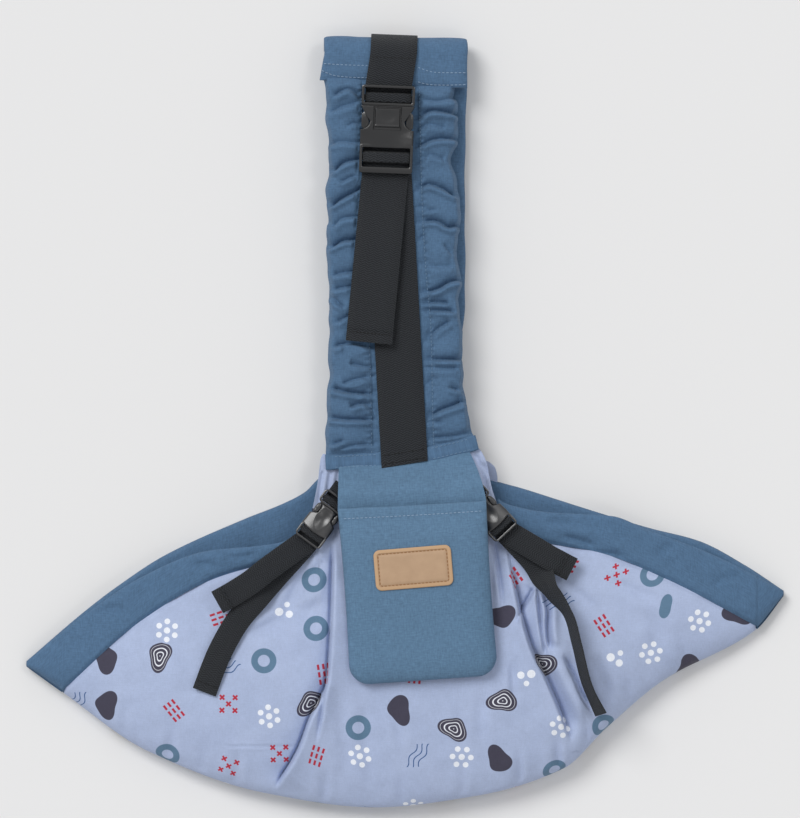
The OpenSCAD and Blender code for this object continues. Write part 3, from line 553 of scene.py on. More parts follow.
def stitch(kind, points, body="root", length=2.3, gap=1.1, wide=0.55, high=0.5, sink=0.12):
    """Lays thread along a line of surface points: short capsules with pointed ends, kept for one mesh a body."""
    p = np.asarray(points, float)
    run = run_length(p)
    count = max(1, int((run[-1] + gap) / (length + gap)))
    pitch = run[-1] / count
    a = np.arange(6) * math.tau / 6
    for k in range(count):
        s = np.array([k * pitch + gap / 2, (k + 1) * pitch - gap / 2])
        ends = np.stack([np.interp(s, run, p[:, c]) for c in range(3)], 1)
        ahead = ends[1] - ends[0]
        size = np.linalg.norm(ahead)
        if size < 1e-6:
            continue
        ahead = ahead / size
        side = np.cross([0, 0, 1.0], ahead)
        side = side / (np.linalg.norm(side) + 1e-9)
        up = np.cross(ahead, side)
        middle = (ends[0] + ends[1]) / 2 - up * sink
        rings = [
            middle + ahead * t * size + np.outer(np.cos(a) * wide / 2 * r, side) + np.outer(np.sin(a) * high * r, up)
            for t, r in ((-0.5, 0.35), (-0.3, 0.9), (0.0, 1.0), (0.3, 0.9), (0.5, 0.35))
        ]
        STITCHES.setdefault((kind, body), []).append(tube(np.array(rings)))


# The pouch's outlines seen from above, as curves y(x)

BOTTOM = [
    (-311, -201), (-280, -223), (-213, -269), (-115, -304), (-25, -315.7), (60, -306), (130, -284),
    (165, -251), (212, -212), (288, -171), (311, -143),
]
# The neck's part of the front's edge and seam
NECK = [
    (-71, -47), (-69, -30), (-66.5, -26), (-62, -28), (0, -31), (56, -18.5), (60.8, -22), (66, -31), (68.5, -40),
    (69.5, -47.4), (72, -57.4),
]
FRONT_EDGE = [
    (-311, -196.5), (-265, -160), (-215, -126.6), (-164, -106), (-104, -99), (-82, -85), (-76, -70), *NECK, (79, -65),
    (88, -68.5), (114, -73.5), (169, -77), (200, -89), (246, -106), (311, -138.5),
]
FRONT_SEAM = [
    (-280, -219.5), (-215, -162), (-158, -129), (-110, -114), (-84, -104), (-79, -84), (-75.5, -70), *NECK, (77, -71),
    (84, -90), (121, -100), (156, -106), (215, -129), (288, -167.5),
]
BACK_EDGE = [
    (-311, -196.5), (-265, -157), (-239, -137), (-198, -110), (-131, -79.5), (-102, -68), (-82, -57.5), (-72, -47.4),
    (-62, -40), (0, -38.6), (64, -42), (67, -46), (81.7, -50.7), (94, -54), (126.6, -64.3), (154, -73), (200, -87),
    (242, -98), (280, -118), (311, -138.5),
]
BACK_SEAM = [
    (-280, -219.5), (-215, -163), (-150, -132), (-84, -106), (-69, -96), (-68.4, -42), (0, -38.6), (60, -33), (66, -32),
    (73.5, -36.6), (76.3, -47), (77, -94), (84, -98), (150, -116), (215, -134), (288, -167.5),
]
# The middle of the neck's hem band
BAND = [(-65, -33), (-27, -31), (0, -29), (25, -25), (59, -16.6)]
LEFT_CORNER, RIGHT_CORNER, HALF_SPAN = -280, 288, 311
PANEL_T, TIP_H, CROWN_H, NECK_H, SEAM_H, CROWN_AT = 4.0, 10.0, 49.5, 28.0, 19.5, 0.42


def curve(x, pts):
    """A smooth curve through points: cubic pieces whose slopes keep each span monotone."""
    p, x = np.array(pts, float), np.asarray(x, float)
    s = np.diff(p[:, 1]) / np.diff(p[:, 0])
    a, b = s[:-1], s[1:]
    inner = np.where(a * b <= 0, 0, 2 * a * b / np.where(a * b <= 0, 1, a + b))
    slope = np.concatenate([s[:1], inner, s[-1:]])
    i = np.clip(np.searchsorted(p[:, 0], x, side="right") - 1, 0, len(p) - 2)
    w = p[i + 1, 0] - p[i, 0]
    t = (x - p[i, 0]) / w
    return (
        p[i, 1] * (2 * t**3 - 3 * t**2 + 1) + slope[i] * w * (t**3 - 2 * t**2 + t)
        + p[i + 1, 1] * (3 * t**2 - 2 * t**3) + slope[i + 1] * w * (t**3 - t**2)
    )


def dome(x):
    return np.maximum(0, 1 - (x / HALF_SPAN) ** 2)


def crown_z(x):
    return TIP_H + (CROWN_H - TIP_H) * dome(x) ** 0.9


def rail_z(x):
    return TIP_H - 0.4 + (NECK_H - TIP_H + 0.4) * dome(x) ** 0.7


def seam_z(x):
    return TIP_H * 0.45 + (SEAM_H - TIP_H * 0.45) * dome(x)


def front_base(x, y):
    """Height of the front without folds: from the bottom seam (v = 0) by a quarter ellipse to the crown, then by a
    squared cosine down to the rail or neck (v = 1)."""
    low = curve(x, BOTTOM)
    v = (y - low) / (curve(x, FRONT_EDGE) - low)
    up = np.clip(v, 0, CROWN_AT) / CROWN_AT
    down = (np.clip(v, CROWN_AT, 1) - CROWN_AT) / (1 - CROWN_AT)
    rise = seam_z(x) + (crown_z(x) - seam_z(x)) * np.sqrt(1 - (1 - up) ** 2)
    fall = rail_z(x) + (crown_z(x) - rail_z(x)) * np.cos(np.pi / 2 * down) ** 2
    return np.where(v < CROWN_AT, rise, fall)


# Overlapping pleats of the pouch: path, height of the side on the left of its run, half width, end fades
POUCH_PLEATS = [
    ([(-58, -96), (-58.5, -120), (-60, -171), (-63, -210), (-68.6, -225), (-77, -241), (-85, -263), (-92, -277),
      (-100, -290), (-105, -301)], 7.4, 13, (0.12, 0.08)),
    ([(-63, -206), (-66, -231), (-69.4, -252), (-72, -266)], 3.0, 8, (0.2, 0.5)),
    ([(80, -98), (83.6, -108), (92.5, -148), (99.9, -176), (105.8, -191), (112.5, -204), (119.2, -219), (124.4, -231),
      (130.4, -247), (136, -263)], -8.4, 12, (0.25, 0.15)),
    ([(106.6, -135.7), (99, -149), (94, -158), (92, -168)], 4.6, 6, (0.1, 0.4)),
    ([(106.6, -134), (108.8, -159), (111.8, -180), (114, -192)], -3.6, 5, (0.1, 0.2)),
    ([(127, -188), (137, -208), (144, -224), (155, -240)], -5.6, 9, (0.25, 0.3)),
    ([(70, -92), (76, -130), (79, -160)], -3.4, 7, (0.2, 0.5)),
    ([(-72, -106), (-84, -111), (-98, -118)], 2.2, 9, (0.15, 0.6)),
]
# Plain folds: path, depth, half width, how the ends fade, lean
POUCH_FOLDS = [
    ([(111.8, -137), (116.2, -152), (116, -165), (116.8, -177), (119.6, -186)], 7.0, 1.9, (0.15, 0.15), 0.3),
    ([(117.7, -182), (126, -203), (137, -226), (146, -243), (151, -256)], -4.6, 5.5, (0.2, 0.3), 0.0),
    ([(-62, -143), (-81, -154), (-97, -148)], 3.6, 7.0, (0.25, 0.5), 0.3),
    ([(-130, -172), (-114, -167), (-99, -158)], 2.8, 5.0, (0.35, 0.4), -0.2),
    ([(-66, -112), (-76, -124), (-90, -132)], 2.4, 3.0, (0.1, 0.6), 0.2),
    ([(-75, -112), (-96, -150), (-104, -190)], 1.8, 5.0, (0.2, 0.6), 0.3),
    ([(-120, -128), (-138, -150), (-146, -180)], 1.6, 5.0, (0.4, 0.6), 0.2),
    ([(-11, -222), (-6, -252), (-1, -276)], 1.6, 3.0, (0.4, 0.4), 0.2),
    ([(86, -190), (88, -214), (89, -240)], 1.9, 3.0, (0.3, 0.4), 0.2),
    ([(41, -224), (44, -246), (46, -270)], 1.5, 3.6, (0.4, 0.4), 0.2),
    ([(64, -214), (62, -240), (66, -272)], 1.4, 4.0, (0.4, 0.4), -0.2),
    ([(135, -134), (148, -146), (161, -158)], 1.8, 4.0, (0.25, 0.5), 0.0),
    ([(160, -126), (188, -138), (218, -149)], 1.6, 4.0, (0.3, 0.5), 0.0),
    ([(152, -186), (160, -208), (168, -230)], 3.0, 5.0, (0.35, 0.3), 0.0),
    ([(190, -150), (204, -170), (202, -198)], 1.6, 6.0, (0.4, 0.5), 0.2),
    ([(-200, -170), (-178, -196), (-168, -232)], 1.6, 6.0, (0.4, 0.5), 0.0),
    ([(-54, -216), (-50, -250), (-44, -290)], 1.8, 5.0, (0.4, 0.2), -0.2),
    ([(-30, -216), (-34, -256), (-28, -300)], 1.4, 5.0, (0.5, 0.1), 0.0),
    ([(-146, -264.4), (-116, -264.4), (-90, -264.8)], 0.7, 0.9, (0.05, 0.05), 0.0),
]
# Short tucks where the panel is gathered into the neck band and the rails' inner ends
NECK_TUCKS = [
    ([(-67, -40), (-69, -56), (-71, -78)], 2.4, 1.8), ([(-61, -40), (-64, -62), (-68, -90)], 2.6, 2.2),
    ([(-55, -40), (-57, -70), (-58, -100)], 2.0, 2.4), ([(57, -26), (64, -44), (74, -76)], 2.6, 2.0),
    ([(54, -30), (58, -60), (66, -96)], 2.2, 2.4), ([(64, -34), (71, -48), (77, -64)], 2.0, 1.8),
    ([(72, -50), (75, -70), (80, -96)], 2.0, 2.0),
]
# Creases along the bottom roll, where the seam draws the padding in
ROLL_TUCKS = [(x0 + dx, depth) for (x0, depth), dx in zip(
    [(-232, 1.6), (-196, 2.2), (-168, 1.4), (-136, 2.4), (-64, 1.8), (-6, 1.6), (52, 2.0), (92, 2.2),
     (124, 2.6), (150, 2.2), (186, 1.8), (232, 1.6)], rng.uniform(-4, 4, 12))]


def add_folds(total, kind, x, y, folds, *rest):
    """Heights with those of every fold of one kind added."""
    for fold in folds:
        total = total + kind(x, y, *fold, *rest)
    return total


def pouch_folds(x, y):
    """All of the pouch's folds, tucks and slack added together, in millimetres of height."""
    total = 0.9 * waves(x, y, 5, 60, 130, 3) + 0.35 * waves(x, y, 7, 18, 40, 4)
    total = add_folds(total, pleat, x, y, POUCH_PLEATS)
    total = add_folds(total, crease, x, y, POUCH_FOLDS)
    total = add_folds(total, crease, x, y, NECK_TUCKS, (0.02, 0.6))
    for x0, depth in ROLL_TUCKS:
        y0 = float(curve(x0, BOTTOM))
        slant = 0.18 * x0 / HALF_SPAN
        path = [(x0, y0 - 2), (x0 - 14 * slant, y0 + 14), (x0 - 60 * slant, y0 + 40)]
        total = total + crease(x, y, path, depth, 3.2, (0.0, 0.7), 0.2)
    return total * smooth_step(0.5, 8, y - curve(x, BOTTOM)) * np.clip(dome(x) * 3, 0, 1)


RAIL_CREASES = [
    ([(128, -93), (144, -98), (160, -103)], 2.6, 2.6), ([(162, -106), (172, -108), (184, -112)], 2.4, 2.6),
    ([(112, -84), (126, -82), (148, -86)], 1.6, 3.4), ([(205, -112), (214, -104), (228, -102)], 1.6, 3.4),
    ([(250, -138), (262, -128), (280, -128)], 1.4, 3.0), ([(-150, -122), (-162, -116), (-180, -118)], 1.6, 3.2),
    ([(-225, -160), (-236, -152), (-256, -158)], 1.6, 3.4), ([(-118, -106), (-132, -110), (-150, -110)], 1.2, 3.0),
]


def seam_groove(d):
    """The dip beside a rail's seam, by the distance from it."""
    return -1.8 * bell(d, 2.4)


def rail_shape(x, y, low, high):
    """Rails: a soft quilted bulge across the band, long shallow waves, and a groove at the seam."""
    share = (y - low) / np.maximum(high - low, 1e-6)
    bulge = 1.6 * np.sin(np.pi * np.clip(share, 0, 1)) ** 0.8
    slack = 0.7 * waves(x, y, 5, 40, 90, 11) + 0.3 * waves(x, y, 6, 14, 30, 12)
    total = add_folds(bulge + slack + seam_groove(y - low), crease, x, y, RAIL_CREASES, (0.3, 0.5), 0.2)
    return total * smooth_step(0, 0.1, dome(x))


def inner_seam(x, line):
    """A seam's line, level past the pouch's two corners."""
    return curve(np.clip(x, LEFT_CORNER, RIGHT_CORNER), line)


def front_panel_z(x, y):
    groove = seam_groove(inner_seam(x, FRONT_SEAM) - y) * smooth_step(76, 84, np.abs(x))
    return front_base(x, y) + pouch_folds(x, y) + groove


def columns(low, high, step, *dense):
    """Places along x at a step, with closer ones in the dense stretches, each given as its ends and its own step."""
    xs = [np.arange(a, b, fine) for a, b, fine in dense]
    ends = [low, *[x for a, b, _fine in dense for x in (a, b)], high]
    xs += [np.linspace(a, b, max(2, int((b - a) / step))) for a, b in zip(ends[::2], ends[1::2])]
    return np.unique(np.round(np.concatenate(xs), 3))


def strip(xs, low, high, rows):
    """A grid of plan points between two curves, closer together towards the first and last row."""
    v = np.linspace(0, 1, rows)
    v = 0.5 * v + 0.5 * smooth_step(0, 1, v)
    x = np.repeat(xs[:, None], rows, 1)
    return x, low[:, None] + (high - low)[:, None] * v[None, :]


def rounded_edge(d, radius):
    """Share of the full thickness at a distance from a rolled edge: a quarter circle."""
    return np.sqrt(np.clip(1 - (1 - np.clip(d, 0, radius) / radius) ** 2, 0, 1))


def hidden(x, y):
    """Cloth hidden in the two main pleats: how far the print is moved sideways on their far sides."""
    total = np.zeros(x.shape)
    for pleated, take in ((POUCH_PLEATS[0], 7), (POUCH_PLEATS[2], 9)):
        d, ends = fold_line(x, y, pleated[0], (0.3, 0.25))
        total = total + take * (0.5 + 0.5 * np.tanh(d / 0.8)) * ends
    return total


def square_to_edge(x):
    """Sine and cosine of the bottom edge's slope at each column of a grid."""
    slope = np.gradient(curve(x[:, 0], BOTTOM), x[:, 0])[:, None]
    return slope / np.hypot(1, slope), 1 / np.hypot(1, slope)


def run_up(y, z, share=1.0):
    """Length run up each column from its first row, with plan steps shortened by a share."""
    step = np.hypot(np.diff(y, axis=1) * share, np.diff(z, axis=1))
    return np.concatenate([np.zeros((len(y), 1)), np.cumsum(step, 1)], 1)


PRINT_ZERO = 170.0


def band_flat(x, y, z):
    """Flat coordinates of a draped band: x, and the length run up each column from the print's zero line."""
    run = run_up(y, z)
    zero = np.array([np.interp(-PRINT_ZERO, *column) for column in zip(y, run)])
    return np.stack([x, run - zero[:, None]], -1)


def front_flat(x, y, z):
    """Flat coordinates of the front: plan, pushed out square to the bottom edge by the extra length of its roll.

    Above the crown the extra length goes up each column instead.
    """
    sine, cosine = square_to_edge(x)
    crown = int(CROWN_AT * x.shape[1])
    roll = run_up(y, z, cosine) - (y - y[:, :1]) * cosine
    column = run_up(y, z) - (y - y[:, :1])
    out = np.maximum(roll[:, crown:crown + 1] - roll, 0)
    up = np.maximum(column - column[:, crown:crown + 1], 0)
    return np.stack([x + sine * out, y + PRINT_ZERO - cosine * out + up], -1), out[:, 0]


def back_flat(x, y, z, edge_out):
    """Flat coordinates of the back: the front's print runs on round the bottom edge, square to it."""
    sine, cosine = square_to_edge(x)
    total = edge_out[:, None] + (y - y[:, :1]) * cosine + run_up(y, z, cosine)
    return np.stack([x + sine * total, y + PRINT_ZERO - cosine * total], -1)


def cloth_shell(name, node, upper, lower, uv, mat):
    """A cloth piece between two grids of points, with the same flat coordinates on both faces."""
    uv = uv.reshape(-1, 2)
    obj = add_mesh(name, *shell(upper, lower), mat, np.concatenate([uv, uv]))
    return finish_piece(obj, "root", "print_cloth" if mat is PRINT else "blue_cloth", node)


def panel(name, node, x, y, top, under, mat, uv):
    """A panel between a top and an underside that stays above the floor."""
    return cloth_shell(name, node, xyz(x, y, top), xyz(x, y, np.maximum(under, 0.0)), uv, mat)


def rail_edges(low_x, high_x, step, seam, edge):
    """Columns of a rail, its seam, or the bottom edge past the pouch's corners, and its outer edge."""
    xs = columns(low_x, high_x, step)
    tip = (xs < LEFT_CORNER) | (xs > RIGHT_CORNER)
    return xs, np.where(tip, curve(xs, BOTTOM), inner_seam(xs, seam)), curve(xs, edge)


front_xs = columns(LEFT_CORNER, RIGHT_CORNER, 2.7, (-106, -54, 0.9), (60, 96, 1.3), (96, 152, 0.85))
px, py = strip(front_xs, curve(front_xs, BOTTOM), curve(front_xs, FRONT_SEAM), 148)
pz = front_panel_z(px, py)
laid, edge_out = front_flat(px, py, front_base(px, py))
pleated = hidden(px, py)
laid[..., 0] += pleated
inner = np.maximum(pz - PANEL_T, np.minimum(seam_z(px), pz) - 0.2)
front_panel = panel("pouch_front", "front_panel", px, py, pz, inner, PRINT, laid)

RAIL_ROLL = 5.0
for side, low_x, high_x in (("left", -HALF_SPAN, -77), ("right", 76, HALF_SPAN)):
    xs, low, high = rail_edges(low_x, high_x, 1.8, FRONT_SEAM, FRONT_EDGE)
    px, py = strip(xs, low, high, 40)
    pz = front_base(px, py) + rail_shape(px, py, low[:, None], high[:, None])
    thin = (PANEL_T - PANEL_T * np.maximum(rounded_edge(py[:, -1:] - py, RAIL_ROLL), 0.12)) / 2
    node, uv = f"front_{side}_rail", band_flat(px, py, pz)
    rail = panel(f"{node}_cloth", node, px, py, pz - thin, pz - PANEL_T + thin, BLUE, uv)


def turn_up(d, r):
    """Quarter round from 1 at an edge to 0 at a distance r."""
    return np.where(d >= r, 0, 1 - np.sqrt(np.maximum(0, 1 - (1 - np.maximum(d, 0) / r) ** 2)))


def back_z(x, y):
    return seam_z(x) * turn_up(y - curve(x, BOTTOM), 1.4 * seam_z(x) + 4)


def back_thickness(x):
    return np.minimum(PANEL_T, 0.8 * seam_z(x))


xs = columns(LEFT_CORNER, RIGHT_CORNER, 3, (-72, -66, 0.8), (60, 80, 0.8))
px, py = strip(xs, curve(xs, BOTTOM), curve(xs, BACK_SEAM), 90)
pz = back_z(px, py)
thick = back_thickness(px) * np.clip((py - py[:, :1]) / 6 + 0.02, 0, 1)
thick = thick * (1 - 0.7 * smooth_step(60, 66, px) * smooth_step(-104, -94, py))
laid = back_flat(px, py, pz, np.interp(xs, front_xs, edge_out))
laid[..., 0] += np.interp(xs, front_xs, pleated[:, 0])[:, None]
back_panel = panel("pouch_back", "back_panel", px, py, pz + thick, pz, PRINT, laid)

for side, low_x, high_x in (("left", -HALF_SPAN, -69), ("right", 69, HALF_SPAN)):
    xs, low, high = rail_edges(low_x, high_x, 2.4, BACK_SEAM, BACK_EDGE)
    low = np.where((xs > 60) & (xs < 78), -94, low)
    px, py = strip(xs, low, high, 30)
    share = (py - low[:, None]) / np.maximum((high - low)[:, None], 1e-6)
    puff = 2.2 * np.sin(np.pi * share) ** 0.7 + 0.5 * waves(px, py, 5, 30, 70, 21)
    thick = back_thickness(px) + puff * smooth_step(0, 0.1, dome(px))
    lowest = back_z(px, py)
    top = lowest + np.maximum(0.3, thick * np.maximum(rounded_edge(high[:, None] - py, RAIL_ROLL), 0.1))
    node, uv = f"back_{side}_rail", band_flat(px, py, top)
    rail = panel(f"{node}_cloth", node, px, py, top, lowest, BLUE, uv)


# Shoulder strap

PAD_T, FOLD_Z, BEND_Y, STRAP_LOW, FLAP_L = 15.0, 15.3, 300.0, -38.0, 21.7


def strap_x(y):
    return -3 - 5.5 * (y - STRAP_LOW) / 354


def pad_half(y):
    return 55.5 + 4 * np.maximum(0, (y - 220) / 96) ** 2 + 7.5 * np.maximum(0, (60 - y) / 98) ** 2


def pad_rings():
    """Rings of a flattened superellipse up the back half, round the fold and down the flap in front."""
    runs = [(y, 0.0) for y in np.linspace(STRAP_LOW, BEND_Y, 70)]
    runs += [(BEND_Y, math.radians(a)) for a in np.linspace(0, 180, 26)[1:]]
    runs += [(y, math.pi) for y in np.linspace(BEND_Y, BEND_Y - FLAP_L, 14)[1:]]
    thins = [1.0] * (len(runs) - 4) + [0.97, 0.94, 0.88, 0.72]
    a = np.arange(96) * math.tau / 96
    rings, flat, run, last = [], [], 0.0, runs[0]
    for (y, turn), thin in zip(runs, thins):
        sx = signed(np.cos(a), 0.35 - 0.15 * math.sin(turn / 2))
        sz = signed(np.sin(a), 0.5 - 0.34 * math.sin(turn))
        wobble = 0.9 * math.sin(y / 19) + 0.6 * math.sin(y / 7.3 + 2) + 0.7 * math.sin(3 * turn)
        half = pad_half(y) - 0.6 + wobble * np.sign(sx) * 0.5
        slack = 0.25 * waves(sx * 55, np.full_like(sx, y + 30 * turn), 5, 20, 60, 31)
        r = FOLD_Z - PAD_T / 2 - (PAD_T / 2 * thin - 0.3 + slack * 0.4) * sz
        past = max(0.0, (BEND_Y - y) / FLAP_L) if turn > 3 else 0.0
        right, left = np.clip(sx, 0, 1), np.clip(-sx, 0, 1)
        x = strap_x(y) + half * sx + 2.0 * right * smooth_step(150, 230, y)
        x = x - 6.2 * past * left ** 2 - 4.6 * right * smooth_step(100, 55, y)
        hem_y = past * (1.5 - 6.4 * smooth_step(-30, 10, x)) + 1.5 * math.sin(turn) * smooth_step(-0.3, -0.7, sx)
        rings.append(xyz(x, y + hem_y + math.sin(turn) * r, FOLD_Z - math.cos(turn) * r))
        run += max(abs(y - last[0]), abs(turn - last[1]) * FOLD_Z)
        flat.append(np.stack([x, np.full_like(x, run)], 1))
        last = y, turn
    return np.array(rings)[:, ::-1], np.array(flat)[:, ::-1]


rings, flat = pad_rings()
pad = add_mesh("shoulder_pad_cover", *tube(rings), BLUE, flat.reshape(-1, 2), crease=50)
finish_piece(pad, "root", "blue_cloth", "shoulder_pad", "shoulder_foam")

# Gathered sleeve. Folds as seen from above: path, depth, half width. Left then right of the webbing.
SLEEVE_FOLDS = [
    ([(-60, 266), (-46, 272), (-34, 264)], 3.5, 2.2), ([(-64, 253), (-50, 258), (-36, 262)], 2.8, 2.6),
    ([(-50, 240), (-42, 244), (-36, 243)], 2.2, 1.8), ([(-62, 203), (-49, 212), (-34, 215)], 5.0, 2.0),
    ([(-63, 175), (-54, 181), (-33, 192)], 5.2, 1.9), ([(-57, 196), (-50, 197), (-44, 200)], 2.6, 1.6),
    ([(-61, 158), (-52, 166), (-36, 168)], 3.2, 2.2), ([(-64, 141), (-50, 148), (-32, 149)], 5.4, 1.9),
    ([(-61, 120), (-50, 122), (-34, 123)], 3.6, 2.3), ([(-60, 108), (-50, 110), (-33, 111)], 3.8, 2.0),
    ([(-62, 104), (-55, 97), (-48, 92)], 3.0, 1.6), ([(-61, 80), (-54, 83), (-44, 87)], 3.6, 2.0),
    ([(-60, 62), (-44, 64), (-26, 61)], 4.6, 2.2), ([(-46, 48), (-36, 46), (-25, 44)], 3.2, 2.0),
    ([(-52, 31), (-40, 35), (-25, 38)], 3.4, 2.0), ([(-62, 28), (-45, 24), (-24, 23)], 5.4, 1.9),
    ([(-46, 12), (-33, 15), (-22, 5)], 3.8, 1.9), ([(-64, 3.5), (-48, 2), (-28, 2)], 5.2, 1.8),
    ([(-63, -19), (-56, -17), (-48, -14)], 3.4, 2.0), ([(-54, -22), (-40, -19), (-22, -18)], 3.6, 1.9),
    ([(-64, 226), (-54, 229), (-40, 228)], 3.0, 2.4), ([(-44, 181), (-38, 179), (-33, 178)], 2.2, 1.4),
    ([(10, 248), (22, 254), (46, 251)], 5.0, 2.0), ([(10, 225), (25, 231), (45, 231)], 4.8, 2.0),
    ([(10, 238), (20, 243), (34, 240)], 2.2, 2.4), ([(12, 212), (20, 218), (34, 214)], 2.2, 2.2),
    ([(7, 188), (21, 194), (45, 183)], 5.2, 1.9), ([(13, 164), (26, 164), (36, 159), (45, 161)], 5.2, 1.8),
    ([(9, 147), (14, 151), (19, 157)], 3.2, 1.6), ([(30, 147), (36, 140), (41, 135)], 2.2, 2.2),
    ([(11, 106), (25, 108), (36, 114), (47, 116)], 5.2, 1.9), ([(12, 97), (24, 98), (37, 97)], 4.0, 1.7),
    ([(14, 91), (28, 91), (42, 90)], 4.0, 1.7), ([(13, 63), (25, 75), (38, 83)], 3.8, 2.2),
    ([(15, 51), (30, 51), (48, 51)], 5.2, 1.9), ([(18, 45), (30, 44), (44, 44)], 2.4, 2.2),
    ([(34, 29), (41, 27), (48, 25)], 3.2, 1.8), ([(16, 3), (30, 10), (50, 17)], 5.4, 2.1),
    ([(17, 0), (26, 0), (34, -1)], 3.4, 1.7), ([(22, -13), (38, -12), (55, -9)], 5.0, 1.9),
    ([(14, 130), (24, 127), (40, 128)], 2.0, 2.6), ([(16, 30), (22, 34), (30, 36)], 2.4, 1.7),
    ([(12, 264), (26, 262), (44, 266)], 2.6, 2.6), ([(12, 176), (20, 173), (30, 175)], 2.0, 1.6),
]
# Seats of the three buckles: the place of each one's own frame, and its turn about +Z in degrees
BIG_SEAT = BIG_AT, BIG_TURN = (-13.9, 257.4, 35.0), -2.2
LEFT_SEAT = (-62.7, -73.1, 39.0), -36.0
RIGHT_SEAT = (62.9, -68.4, 39.0), 43.0
# The two rows of stitching that hold the sleeve beside the webbing, and its outer edges, as curves x(y)
LEFT_ROW = [(-40, -26.3), (22, -27), (140, -31.9), (279, -35.4)]
RIGHT_ROW = [(-40, 23.9), (-3, 22.1), (75, 20.4), (123, 16.3), (181, 13.1), (280, 10.6)]
LEFT_SIDE = [
    (-40, -64), (-20, -65), (8, -65), (28, -63.4), (60, -62.6), (90, -62), (112, -62.2), (142, -64.6), (160, -63),
    (186, -64.4), (206, -62.6), (232, -63.4), (255, -65.2), (270, -64.6), (284, -66.5),
]
RIGHT_SIDE = [
    (-40, 58), (-14, 56), (8, 51), (22, 49.6), (36, 47.4), (58, 47.4), (74, 46.4), (98, 43.6), (116, 46.6), (134, 42.4),
    (160, 44.6), (182, 45.4), (206, 40), (216, 38.6), (230, 43.4), (252, 44.4), (268, 40.8), (284, 43),
]
CHANNEL_Z, SLEEVE_Z, BAND_Z = 30.9, 15.9, 29.6
# The free tail's middle line on the sleeve, how far it rises along it, and how far the female half slides out
TAIL_FOOT, TAIL_RISE, RELEASE_RUN = [(-15.9, 205.4), (-32.0, 38.5)], 4.4, 24.0
TAIL_FOOT_L, TAIL_CLEAR_Z, FEMALE_L = 167.7, 32.4, 57


def place(points, seat):
    """Points of a buckle's own frame, in the carrier's."""
    (x0, y0, z0), turn = seat
    x, y, z = np.moveaxis(np.asarray(points, float), -1, 0)
    c, s = math.cos(math.radians(turn)), math.sin(math.radians(turn))
    return xyz(x0 + x * c - y * s, y0 + x * s + y * c, z0 + z)


def spun(points, turn):
    """Points or directions turned about +Z at the origin."""
    return place(points, ((0, 0, 0), turn))


def sleeve_grid():
    """The sleeve's plan from edge to edge, and how far each point is from the channel to its pillow's outer edge."""
    u = np.linspace(0, 1, 52) ** 0.8
    channel = np.sort(np.concatenate([np.linspace(0, 1, 6), [0.03, 0.06, 0.1, 0.14, 0.86, 0.9, 0.94, 0.97]]))
    shares = np.concatenate([u - 1, channel[1:], 1 + u[1:]])[:, None]
    low = curve(-63 + 122 * (shares + 1) / 3, BAND) + 1
    top = 281.2 - 6.4 * smooth_step(0.1, 0.9, shares)
    y = low + (top - low) * np.linspace(0, 1, 420)
    left, right = curve(y, LEFT_ROW), curve(y, RIGHT_ROW)
    wave = 0.8 * np.sin(y / 5.1) + 0.5 * np.sin(y / 2.9 + 1)
    out_l, out_r = curve(y, LEFT_SIDE) + wave * 0.5, curve(y, RIGHT_SIDE) + wave * 0.6
    x = np.where(shares < 0, out_l + (left - out_l) * (shares + 1), left + (right - left) * shares)
    x = np.where(shares > 1, right + (out_r - right) * (shares - 1), x)
    return x, y, np.broadcast_to(np.clip(np.maximum(-shares, shares - 1), 0, 1), x.shape)


def sleeve_folds(x, y):
    """Slack and gathers of the sleeve; those that end near the webbing are drawn on towards it."""
    total = 0.8 * waves(x * 0.6, y, 6, 16, 34, 41)
    for path, depth, width in SLEEVE_FOLDS:
        (x0, y0), (x1, y1) = path[0], path[-1]
        fade = 0.1 if abs(x1 - x0) > 20 else 0.35
        before = [(x0 - 9, y0 - 1.5)] if 0 < x0 < 24 else []
        after = [(x1 + 8, y1 + 1)] if -48 < x1 < 0 else []
        total = total + gather(x, y, before + path + after, 1.5 * depth, 1.1 * width, fade)
    return total


